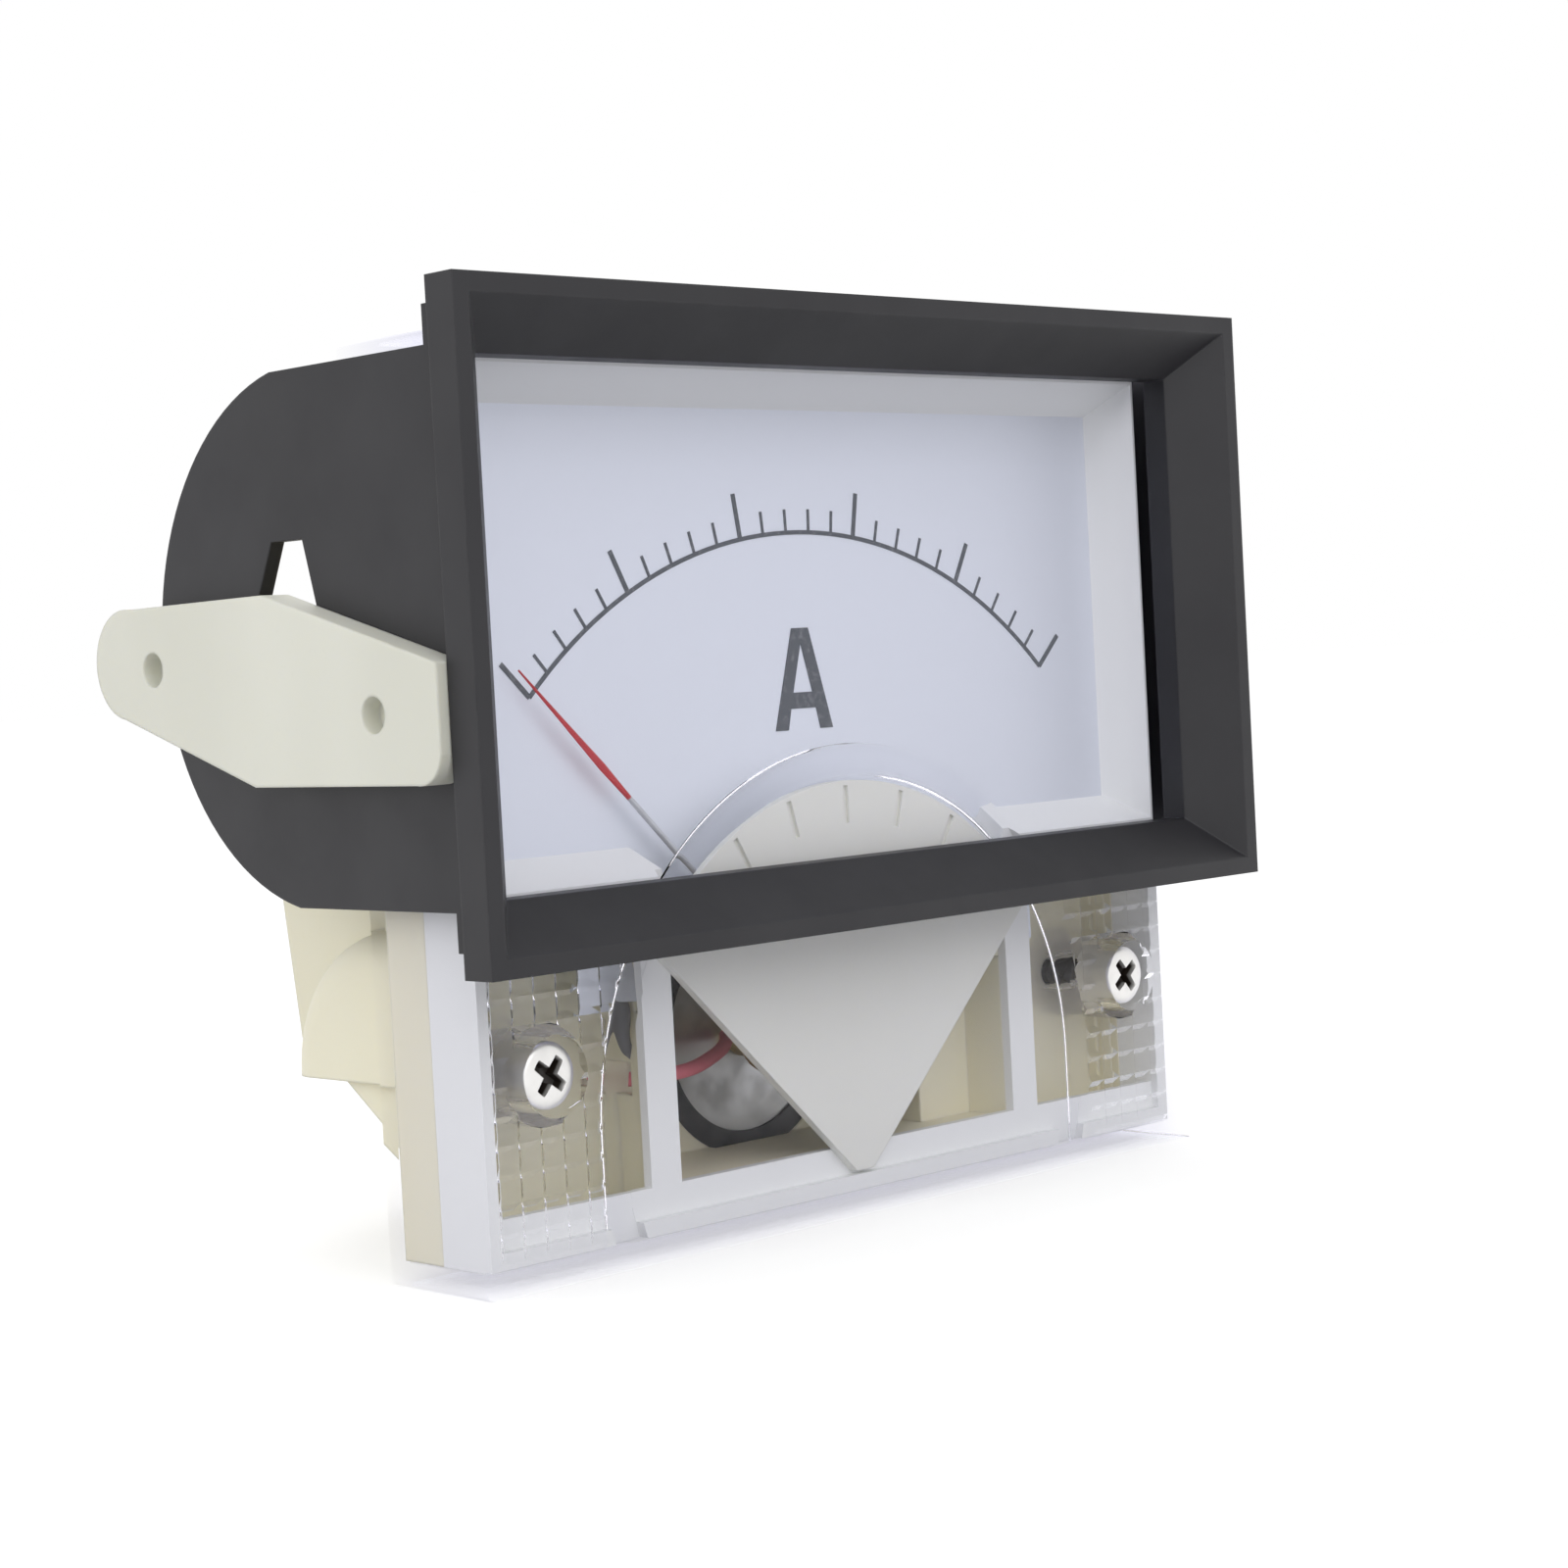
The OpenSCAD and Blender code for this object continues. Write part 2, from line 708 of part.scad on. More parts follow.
// A jewel screw: threaded shank with a slot, and a cup for the pivot.
module jewel_screw(y0, y1, cup_y, facing) {
    color("#c9a24a") difference() {
        rod(0, pivot_z, y0, y1, jewel_r);
        rod(0, pivot_z, cup_y - 0.6, cup_y + 0.6, 0.26);
        box([-2, facing > 0 ? y0 - 0.1 : y1 - 0.5, pivot_z - 0.2],
            [2, facing > 0 ? y0 + 0.5 : y1 + 0.1, pivot_z + 0.2]);
    }
}

module front_jewel_screw() {
    jewel_screw(bar_y + 0.05, front_tip + 0.35, front_tip + 0.5, 1);
}

module rear_jewel_screw() {
    jewel_screw(rear_tip - 0.35, rear_tip + 2.6, rear_tip - 0.5, -1);
}

// ---------------------------------------------------------------- fixed movement

// A disc in the yoke's bore with one post, whose arm carries the front jewel.
module front_bridge() {
    post_x = 9;
    arm_y = bar_y + 0.1;
    arm_end = front_tip + 0.2;
    color("#a9a9a9") difference() {
        union() {
            rod(0, pivot_z, front_disc_y, front_disc_y + disc_t, yoke_bore - 0.02);
            rod(post_x, pivot_z, arm_y, front_disc_y + 0.5, 0.9);
            box([0, arm_y, pivot_z - 1.6], [post_x, arm_end, pivot_z + 1.6]);
            rod(0, pivot_z, arm_y, arm_end, 1.9);
        }
        rod(0, pivot_z, front_disc_y - 1, front_disc_y + 2, 1.4);
        rod(0, pivot_z, arm_y - 1, arm_end + 1, jewel_r);
        rod(0, pivot_z + bridge_screw_r, front_disc_y - 1, front_disc_y + 2, 0.8);
    }
}

// A cup on the yoke's rear face that holds the rear jewel and the rear spring's outer end.
module rear_bridge() {
    color("#a9a9a9") difference() {
        rod(0, pivot_z, rear_plate_y, rear_disc_y + disc_t, pocket_r - 0.05);
        rod(0, pivot_z, rear_plate_y - 1, rear_disc_y, yoke_bore);
        rod(0, pivot_z, rear_disc_y - 1, rear_disc_y + disc_t + 1, jewel_r);
        rod(0, pivot_z + bridge_screw_r, rear_disc_y - 1, rear_disc_y + disc_t + 1, 0.8);
    }
    color("#a9a9a9") box([spring_r_rear + 0.05, rear_spring_y, pivot_z - 0.5],
                         [spring_r_rear + 0.7, rear_disc_y + 0.1, pivot_z + 0.5]);
}

// Lever that holds the front hairspring's outer end and sets the zero.
module zero_lever() {
    lever_y = front_disc_y - 1.4;
    tip_x = spring_r_front + 0.05;
    color("#c7b27a") difference() {
        union() {
            rod(0, pivot_z, lever_y, front_disc_y, 2.6);
            box([0, lever_y, pivot_z - 0.8], [tip_x + 0.7, lever_y + 0.6, pivot_z + 0.8]);
            box([tip_x, front_spring_y, pivot_z - 0.8], [tip_x + 0.7, lever_y + 0.6, pivot_z + 0.8]);
        }
        rod(0, pivot_z, lever_y - 1, front_disc_y + 1, 1.4);
    }
}

module yoke_ring() {
    color("#47464c") difference() {
        rod(0, pivot_z, yoke_y, yoke_y + yoke_l, yoke_r);
        rod(0, pivot_z, yoke_y - 1, yoke_y + yoke_l + 1, yoke_bore);
    }
}

module core_magnet() {
    color("#6c6d72") rod(0, pivot_z, core_y, core_y + core_l, core_r);
}

// Two keys that hold the core in the yoke, above and below, clear of the coil's sweep.
module core_spacers() {
    color("#c9a24a") intersection() {
        difference() {
            rod(0, pivot_z, core_y, core_y + core_l, yoke_bore);
            rod(0, pivot_z, core_y - 1, core_y + core_l + 1, core_r);
            rod(0, pivot_z + bridge_screw_r, core_y - 1, core_y + core_l + 1, 0.7);
        }
        box([-2.2, core_y - 1, pivot_z - 20], [2.2, core_y + core_l + 1, pivot_z + 20]);
    }
}

// One screw through each bridge into the upper core key.
module bridge_screws() {
    z = pivot_z + bridge_screw_r;
    color("#9a9a9a") difference() {
        union() {
            rod(0, z, front_disc_y - 0.8, front_disc_y, 1.4);
            rod(0, z, front_disc_y - eps, core_y + 2.5, 0.7);
            rod(0, z, rear_disc_y + disc_t, rear_disc_y + disc_t + 0.8, 1.4);
            rod(0, z, core_y + core_l - 2.5, rear_disc_y + disc_t + eps, 0.7);
        }
        for (y = [front_disc_y - 0.9, rear_disc_y + disc_t + 0.5])
            box([-1.6, y, z - 0.2], [1.6, y + 0.4, z + 0.2]);
    }
}

// ---------------------------------------------------------------- current path

// The resistance strip between the studs, carried on their inner nuts.
module shunt_strip() {
    y = housing_y - tub_t - 4.2;
    color("#b08d57") difference() {
        box([-stud_spacing / 2 - 5, y - 1, stud_z - 5], [stud_spacing / 2 + 5, y, stud_z + 5]);
        both_sides() rod(stud_spacing / 2, stud_z, y - 2, y + 1, stud_d / 2 + 0.05);
        for (x = [-12 : 8 : 12]) box([x - 1, y - 2, stud_z - 1], [x + 1, y + 1, stud_z + 6]);
    }
}

module terminal_studs() {
    head_y = housing_y - tub_t - 7.2;
    relief_y = housing_y + 4.2;
    color("#c9a24a") both_sides() difference() {
        union() {
            rod(stud_spacing / 2, stud_z, head_y, housing_y + stud_reach, stud_d / 2);
            hex(stud_spacing / 2, stud_z, head_y - 0.1, 8, 2.1);
        }
        // thread relief under the nut's outer end
        difference() {
            rod(stud_spacing / 2, stud_z, relief_y, relief_y + 0.5, stud_d);
            rod(stud_spacing / 2, stud_z, relief_y - 1, relief_y + 1, stud_d / 2 - 0.3);
        }
    }
}

module ring_hex(y, across, depth) {
    difference() {
        hex(stud_spacing / 2, stud_z, y, across, depth);
        rod(stud_spacing / 2, stud_z, y - 1, y + depth + 1, stud_d / 2);
    }
}

module inner_nuts() {
    color("#c9a24a") both_sides() ring_hex(housing_y - tub_t - 4.2, 8, 4.2);
}

module terminal_washers() {
    color("#cfcfcf") both_sides() difference() {
        rod(stud_spacing / 2, stud_z, housing_y, housing_y + 1, 5.2);
        rod(stud_spacing / 2, stud_z, housing_y - 1, housing_y + 2, stud_d / 2 + 0.02);
    }
}

module terminal_nuts() {
    color("#c9a24a") both_sides() ring_hex(housing_y + 1, 8, 3.6);
}

// An insulated wire along points.
module wire(points, r) {
    for (i = [0 : len(points) - 2]) hull() {
        translate(points[i]) sphere(r = r, $fn = 12);
        translate(points[i + 1]) sphere(r = r, $fn = 12);
    }
}

// From behind the left-hand wall to the zero lever.
module red_lead() {
    color("#cc3a44") wire([[-27, 14.2, -42.9], [-21, 14.4, -43.6], [-14.5, 15.5, -43.7],
                           [-9.5, 17.4, -43.2], [-5.9, 19.4, -42.6], [-3.3, 21.8, -42]], 0.7);
}

// From behind the dial's left-hand ear down the outside of the compartment's wall.
module black_lead() {
    color("#3a3a3c") wire([[-25.6, 12.9, -33], [-25.4, 12.7, -36.3], [-25.9, 12.6, -38.6],
                           [-25.75, 12.6, -40], [-25.27, 12.6, -40.7]], 0.45);
}

// ---------------------------------------------------------------- output

bezel_frame();
left_clamp_bracket();
right_clamp_bracket();
clear_cover();
cover_screws();
dial_mask();
dial_plate();
scale_print();
hub_shield();
rear_base();
pointer();
balance_weights();
pivot_staffs();
coil_former();
coil_winding();
front_hairspring();
rear_hairspring();
front_jewel_screw();
rear_jewel_screw();
front_bridge();
rear_bridge();
zero_lever();
yoke_ring();
core_magnet();
core_spacers();
bridge_screws();
shunt_strip();
terminal_studs();
inner_nuts();
terminal_washers();
terminal_nuts();
red_lead();
black_lead();
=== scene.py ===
"""Finishes, fine detail, light and camera for the analog panel meter.

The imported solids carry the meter's construction. This file dresses each of them, swaps the
threaded and wired pieces for finely made ones, and sets up a plain studio.
"""
import logging
import math
from dataclasses import dataclass, field
from enum import Enum

import bpy
import numpy as np
from mathutils import Matrix, Vector


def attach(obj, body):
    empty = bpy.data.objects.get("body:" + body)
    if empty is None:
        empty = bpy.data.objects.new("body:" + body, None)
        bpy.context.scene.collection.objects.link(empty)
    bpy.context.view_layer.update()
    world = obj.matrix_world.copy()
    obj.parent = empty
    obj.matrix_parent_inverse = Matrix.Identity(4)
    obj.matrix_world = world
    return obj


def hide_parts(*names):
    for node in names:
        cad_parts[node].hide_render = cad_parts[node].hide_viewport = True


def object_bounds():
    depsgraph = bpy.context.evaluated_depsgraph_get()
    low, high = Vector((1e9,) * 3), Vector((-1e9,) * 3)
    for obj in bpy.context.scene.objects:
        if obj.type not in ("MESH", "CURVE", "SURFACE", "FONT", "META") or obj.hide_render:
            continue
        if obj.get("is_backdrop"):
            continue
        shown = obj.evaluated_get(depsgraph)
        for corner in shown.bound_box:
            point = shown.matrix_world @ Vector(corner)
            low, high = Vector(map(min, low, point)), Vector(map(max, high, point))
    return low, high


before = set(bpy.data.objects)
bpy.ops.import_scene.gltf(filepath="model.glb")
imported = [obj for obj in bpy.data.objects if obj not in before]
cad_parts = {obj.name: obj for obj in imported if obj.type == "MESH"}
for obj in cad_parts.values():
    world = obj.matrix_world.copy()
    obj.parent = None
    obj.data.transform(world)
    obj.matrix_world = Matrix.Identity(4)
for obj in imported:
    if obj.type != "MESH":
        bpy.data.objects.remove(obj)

LOG = logging.getLogger("panel_meter")
MM = 0.001

Colour = tuple[float, float, float]
Socket = bpy.types.NodeSocket


class Body(Enum):
    """The rigid bodies that pieces ride on."""

    CASE = "meter_body"
    POINTER = "pointer_movement"
    LEFT_CLAMP = "left_clamp"
    RIGHT_CLAMP = "right_clamp"


# ------------------------------------------------------------------ shader sheets


class Sheet:
    """A material's node tree, with short calls for the nodes that the finishes share."""

    def __init__(self, name: str) -> None:
        """Starts an empty material.

        Args:
            name: the material's name.
        """
        self.material = bpy.data.materials.new(name)
        self.material.use_nodes = True
        self.tree = self.material.node_tree
        self.tree.nodes.clear()
        self.place = self.add("ShaderNodeTexCoord").outputs["Object"]

    def add(self, kind: str, inputs: dict | None = None, **settings) -> bpy.types.Node:
        """Adds one node.

        Args:
            kind: the node's type name.
            inputs: input name or number to a value, or to a socket to link from.
            **settings: attributes of the node itself.

        Returns:
            The new node.
        """
        node = self.tree.nodes.new(kind)
        for key, value in settings.items():
            setattr(node, key, value)
        for key, value in (inputs or {}).items():
            if isinstance(value, Socket):
                self.tree.links.new(value, node.inputs[key])
            else:
                node.inputs[key].default_value = value
        return node

    def noise(self, size_mm: float, detail: float = 3.0, stretch: Colour = (1, 1, 1)) -> Socket:
        """Noise in object space.

        Args:
            size_mm: the size of one blotch.
            detail: how many finer layers it has.
            stretch: how far it is drawn out along each axis.

        Returns:
            A value from 0 to 1.
        """
        place = self.add("ShaderNodeMapping", {
            "Vector": self.place, "Scale": tuple(1.0 / s for s in stretch)}).outputs[0]
        return self.add("ShaderNodeTexNoise", {
            "Vector": place, "Scale": 1.0 / (size_mm * MM), "Detail": detail,
        }).outputs["Fac"]

    def ramp(self, value: Socket, low: float, high: float,
             out_low: float = 0.0, out_high: float = 1.0) -> Socket:
        """Maps a value's range onto another one, held at both ends."""
        return self.add("ShaderNodeMapRange", {
            "Value": value, "From Min": low, "From Max": high,
            "To Min": out_low, "To Max": out_high}).outputs[0]

    def math(self, operation: str, a: Socket | float, b: Socket | float = 0.0) -> Socket:
        """One arithmetic step on two values."""
        return self.add("ShaderNodeMath", {0: a, 1: b}, operation=operation).outputs[0]

    def mix(self, share: Socket | float, low: Socket | Colour, high: Socket | Colour) -> Socket:
        """Mixes two colours.

        Args:
            share: 0 for the first colour, 1 for the second.
            low: the first colour.
            high: the second colour.

        Returns:
            The mixed colour.
        """
        def rgba(colour: Socket | Colour) -> Socket | tuple:
            """A plain colour with its alpha."""
            return colour if isinstance(colour, Socket) else (*colour, 1.0)
        return self.add("ShaderNodeMix", {0: share, 6: rgba(low), 7: rgba(high)},
                        data_type="RGBA").outputs[2]

    def soft_edge(self, radius_mm: float) -> Socket:
        """The surface normal with every edge eased to a small round."""
        return self.add("ShaderNodeBevel", {"Radius": radius_mm * MM}, samples=6).outputs[0]

    def edge_share(self, eased: Socket, reach: float = 0.25) -> Socket:
        """How close a point is to an edge, from how far its eased normal leans."""
        plain = self.add("ShaderNodeNewGeometry").outputs["Normal"]
        lean = self.add("ShaderNodeVectorMath", {0: eased, 1: plain},
                        operation="DOT_PRODUCT").outputs["Value"]
        return self.ramp(self.math("SUBTRACT", 1.0, lean), 0.0, reach)

    def bump(self, height: Socket, depth_mm: float, normal: Socket | None = None) -> Socket:
        """Turns a height from 0 to 1 into a bent normal.

        Args:
            height: the height at each point.
            depth_mm: the height's full range.
            normal: the normal that it bends, or None for the plain one.

        Returns:
            The bent normal.
        """
        inputs = {"Height": height, "Distance": depth_mm * MM, "Strength": 1.0}
        if normal is not None:
            inputs["Normal"] = normal
        return self.add("ShaderNodeBump", inputs).outputs[0]

    def finish(self, shader: Socket) -> bpy.types.Material:
        """Links a shader to the output and returns the material."""
        self.add("ShaderNodeOutputMaterial", {"Surface": shader})
        return self.material

    def principled(self, inputs: dict) -> bpy.types.Material:
        """Ends the sheet in one Principled shader with these inputs."""
        return self.finish(self.add("ShaderNodeBsdfPrincipled", inputs).outputs[0])


# ------------------------------------------------------------------ finishes


@dataclass(frozen=True)
class MouldedPlastic:
    """Injection-moulded plastic with spark grain, faint flow marks, softened edges and a painted
    highlight along them.
    """

    name: str
    colour: Colour
    flow: Colour
    # edge colour: the colour of the painted highlight along the edges
    edge: Colour
    roughness: float
    grain_mm: float = 0.25
    grain_depth_mm: float = 0.004
    edge_mm: float = 0.25
    edge_highlight_share: float = 0.6
    glow: float = 0.0

    def build(self) -> bpy.types.Material:
        """Makes the material: grain bump over eased edges, with colour drift, gloss drift and a painted
        highlight on the edges, broken up by noise.
        """
        s = Sheet(self.name)
        eased = s.soft_edge(self.edge_mm)
        drift = s.ramp(s.noise(22.0, 2.0, (1, 1, 2.5)), 0.35, 0.7)
        speck = s.ramp(s.noise(0.7, 2.0), 0.6, 0.8, 0.0, 0.35)
        body = s.mix(drift, self.colour, self.flow)
        body = s.mix(speck, body, self.flow)
        # painted highlight: near the edges the colour is lifted toward the edge colour, broken up by
        # noise
        share = s.math("MULTIPLY", s.edge_share(eased), self.edge_highlight_share)
        painted_edge_highlight = s.math("MULTIPLY", share, s.ramp(s.noise(1.6, 3.0), 0.3, 0.65))
        grain = s.noise(self.grain_mm, 2.0)
        polish = s.ramp(s.noise(9.0, 3.0), 0.3, 0.75, self.roughness - 0.05, self.roughness + 0.07)
        inputs = {
            "Base Color": s.mix(painted_edge_highlight, body, self.edge),
            "Roughness": polish,
            "Normal": s.bump(grain, self.grain_depth_mm, eased),
            "IOR": 1.5,
        }
        if self.glow:
            inputs.update({"Subsurface Weight": self.glow, "Subsurface Radius": (1.0, 0.9, 0.6),
                           "Subsurface Scale": 0.8 * MM})
        return s.principled(inputs)


@dataclass(frozen=True)
class ClearPlastic:
    """Polished clear styrene with a faint cool tint and a slow ripple in its surface."""

    name: str
    tint: Colour
    deep_tint: Colour
    density: float
    ior: float = 1.09
    ripple_mm: float = 14.0
    ripple_depth_mm: float = 0.006

    def build(self) -> bpy.types.Material:
        """Makes the material: a rippled clear skin that lets lamps through, over a cool depth."""
        s = Sheet(self.name)
        ripple = s.noise(self.ripple_mm, 1.0)
        hair = s.ramp(s.noise(1.2, 4.0, (1, 1, 30)), 0.62, 0.72)
        height = s.math("ADD", ripple, s.math("MULTIPLY", hair, 0.03))
        glass = s.add("ShaderNodeBsdfPrincipled", {
            "Base Color": (*self.tint, 1.0),
            "Roughness": 0.015,
            "IOR": self.ior,
            "Transmission Weight": 1.0,
            "Coat Weight": 0.15,
            "Coat Roughness": 0.02,
            "Normal": s.bump(height, self.ripple_depth_mm),
        }).outputs[0]
        through = s.add("ShaderNodeBsdfTransparent", {"Color": (0.97, 0.97, 0.985, 1.0)}).outputs[0]
        path = s.add("ShaderNodeLightPath").outputs
        carrying = s.math("MAXIMUM", path["Is Shadow Ray"], path["Is Diffuse Ray"])
        both = s.add("ShaderNodeMixShader", {0: carrying, 1: glass, 2: through}).outputs[0]
        depth = s.add("ShaderNodeVolumeAbsorption", {
            "Color": (*self.deep_tint, 1.0), "Density": self.density}).outputs[0]
        s.add("ShaderNodeOutputMaterial", {"Surface": both, "Volume": depth})
        return s.material


@dataclass(frozen=True)
class Enamel:
    """Stoved paint on sheet or wire, with a fine orange peel."""

    name: str
    colour: Colour
    shade: Colour
    roughness: float
    peel_mm: float = 0.5
    edge_mm: float = 0.08

    def build(self) -> bpy.types.Material:
        """Makes the material: two close tones under a low bump."""
        s = Sheet(self.name)
        eased = s.soft_edge(self.edge_mm)
        tone = s.ramp(s.noise(18.0, 2.0), 0.3, 0.7)
        dust = s.ramp(s.noise(0.25, 2.0), 0.68, 0.8, 0.0, 0.25)
        return s.principled({
            "Base Color": s.mix(dust, s.mix(tone, self.colour, self.shade), self.shade),
            "Roughness": s.ramp(s.noise(6.0, 2.0), 0.3, 0.7, self.roughness, self.roughness + 0.1),
            "Normal": s.bump(s.noise(self.peel_mm, 2.0), 0.002, eased),
            "IOR": 1.45,
        })


@dataclass(frozen=True)
class Ink:
    """Screen-printed ink, slightly uneven where it was laid."""

    name: str
    colour: Colour

    def build(self) -> bpy.types.Material:
        """Makes the material: a matt colour with small thin patches."""
        s = Sheet(self.name)
        thin = s.ramp(s.noise(0.6, 4.0), 0.55, 0.8, 0.0, 0.3)
        lighter = tuple(0.55 + 0.45 * c for c in self.colour)
        return s.principled({
            "Base Color": s.mix(thin, self.colour, lighter),
            "Roughness": 0.62,
            "Normal": s.bump(s.noise(0.12, 2.0), 0.002),
        })


@dataclass(frozen=True)
class BareMetal:
    """Turned, drawn or plated metal with tool lines and a little tarnish."""

    name: str
    colour: Colour
    tarnish: Colour
    roughness: float
    lines: Colour = (1, 12, 1)
    edge_mm: float = 0.12

    def build(self) -> bpy.types.Material:
        """Makes the material: tool lines drawn out along one axis over blotchy tarnish, with a painted
        highlight along the edges.
        """
        s = Sheet(self.name)
        eased = s.soft_edge(self.edge_mm)
        tool = s.noise(0.18, 3.0, self.lines)
        aged = s.ramp(s.noise(3.5, 4.0), 0.45, 0.75)
        # painted highlight: near the edges the colour is lifted toward a brighter one
        painted_edge_glint = s.math("MULTIPLY", s.edge_share(eased), 0.5)
        body = s.mix(aged, self.colour, self.tarnish)
        glint_colour = tuple(min(1.0, 1.15 * c) for c in self.colour)
        return s.principled({
            "Base Color": s.mix(painted_edge_glint, body, glint_colour),
            "Metallic": 1.0,
            "Roughness": s.ramp(aged, 0.0, 1.0, self.roughness, self.roughness + 0.18),
            "Normal": s.bump(tool, 0.006, eased),
        })


@dataclass(frozen=True)
class ScrewHead:
    """Bright nickel whose cross recess and sunk shank are painted dark as shade."""

    name: str
    colour: Colour
    # recess: the near-black colour of the painted shade in the recess and on the shank
    recess: Colour
    axis_x: float = 40.6
    axis_z: float = -40.2
    reach: float = 2.0
    top_y: float = 5.05
    deep_y: float = 5.5

    def build(self) -> bpy.types.Material:
        """Makes the material: satin nickel, with painted shade inside the reach and behind the crown,
        over the cross recess and the shank.
        """
        s = Sheet(self.name)
        eased = s.soft_edge(0.08)
        place = s.add("ShaderNodeSeparateXYZ", {0: s.place}).outputs
        across = s.math("SUBTRACT", s.math("ABSOLUTE", place["X"]), self.axis_x * MM)
        up = s.math("SUBTRACT", place["Z"], self.axis_z * MM)
        radius = s.math("SQRT", s.math("ADD", s.math("MULTIPLY", across, across),
                                       s.math("MULTIPLY", up, up)))
        inside = s.ramp(radius, self.reach * MM, (self.reach + 0.2) * MM, 1.0, 0.0)
        deep = s.ramp(place["Y"], self.top_y * MM, self.deep_y * MM)
        # painted shade: near black and not metallic, inside the reach and deeper than the crown
        painted_recess_shade = s.math("MULTIPLY", inside, deep)
        tarnish = s.ramp(s.noise(1.2, 3.0), 0.5, 0.8, 0.0, 0.3)
        body = s.mix(tarnish, self.colour, tuple(0.8 * c for c in self.colour))
        return s.principled({
            "Base Color": s.mix(painted_recess_shade, body, self.recess),
            "Metallic": s.ramp(painted_recess_shade, 0.0, 1.0, 0.75, 0.0),
            "Roughness": s.ramp(tarnish, 0.0, 0.3, 0.34, 0.5),
            "Normal": s.bump(s.noise(0.2, 2.0), 0.004, eased),
        })


@dataclass(frozen=True)
class PointerPaint:
    """Red paint on the pointer's lance, over a bare grey tube nearer the hub."""

    name: str
    colour: Colour
    bare: Colour
    pivot_z: float = -42.0
    start_r: float = 36.4

    def build(self) -> bpy.types.Material:
        """Makes the material: red beyond the start radius from the pivot, grey within it."""
        s = Sheet(self.name)
        place = s.add("ShaderNodeSeparateXYZ", {0: s.place}).outputs
        up = s.math("SUBTRACT", place["Z"], self.pivot_z * MM)
        radius = s.math("SQRT", s.math("ADD", s.math("MULTIPLY", place["X"], place["X"]),
                                       s.math("MULTIPLY", up, up)))
        painted = s.ramp(radius, (self.start_r - 0.1) * MM, (self.start_r + 0.1) * MM)
        tone = s.ramp(s.noise(2.5, 3.0), 0.35, 0.7)
        red = s.mix(tone, self.colour, tuple(0.85 * c for c in self.colour))
        grey = s.mix(tone, self.bare, tuple(0.9 * c for c in self.bare))
        return s.principled({
            "Base Color": s.mix(painted, grey, red),
            "Metallic": s.ramp(painted, 0.0, 1.0, 0.5, 0.0),
            "Roughness": s.ramp(tone, 0.0, 1.0, 0.36, 0.46),
            "Normal": s.bump(s.noise(0.3, 2.0), 0.002),
        })


@dataclass(frozen=True)
class WoundWire:
    """Fine enamelled wire laid side by side round a former."""

    name: str
    colour: Colour
    pitch_mm: float

    def build(self) -> bpy.types.Material:
        """Makes the material: rounded turns across the row's Y, with painted shade in the grooves between
        them.
        """
        s = Sheet(self.name)
        turns = s.add("ShaderNodeTexWave", {
            "Vector": s.place, "Scale": 0.314 / (self.pitch_mm * MM), "Distortion": 0.6,
            "Detail": 1.0, "Detail Scale": 0.4}, bands_direction="DIAGONAL").outputs["Fac"]
        # painted shade: the colour darkens in the grooves between turns
        painted_groove_shade = s.ramp(turns, 0.0, 0.35)
        return s.principled({
            "Base Color": s.mix(painted_groove_shade, tuple(0.35 * c for c in self.colour), self.colour),
            "Metallic": 0.75,
            "Roughness": 0.32,
            "Coat Weight": 0.4,
            "Normal": s.bump(turns, 0.03),
        })


@dataclass(frozen=True)
class Insulation:
    """Soft extruded wire sleeve with a satin skin."""

    name: str
    colour: Colour

    def build(self) -> bpy.types.Material:
        """Makes the material: a satin skin with fine drawn lines and dull spots."""
        s = Sheet(self.name)
        scuff = s.ramp(s.noise(1.4, 3.0), 0.45, 0.7)
        duller = tuple(0.8 * c + 0.06 for c in self.colour)
        return s.principled({
            "Base Color": s.mix(scuff, self.colour, duller),
            "Roughness": s.ramp(scuff, 0.0, 1.0, 0.36, 0.5),
            "Normal": s.bump(s.noise(0.15, 2.0, (6, 1, 1)), 0.01),
        })


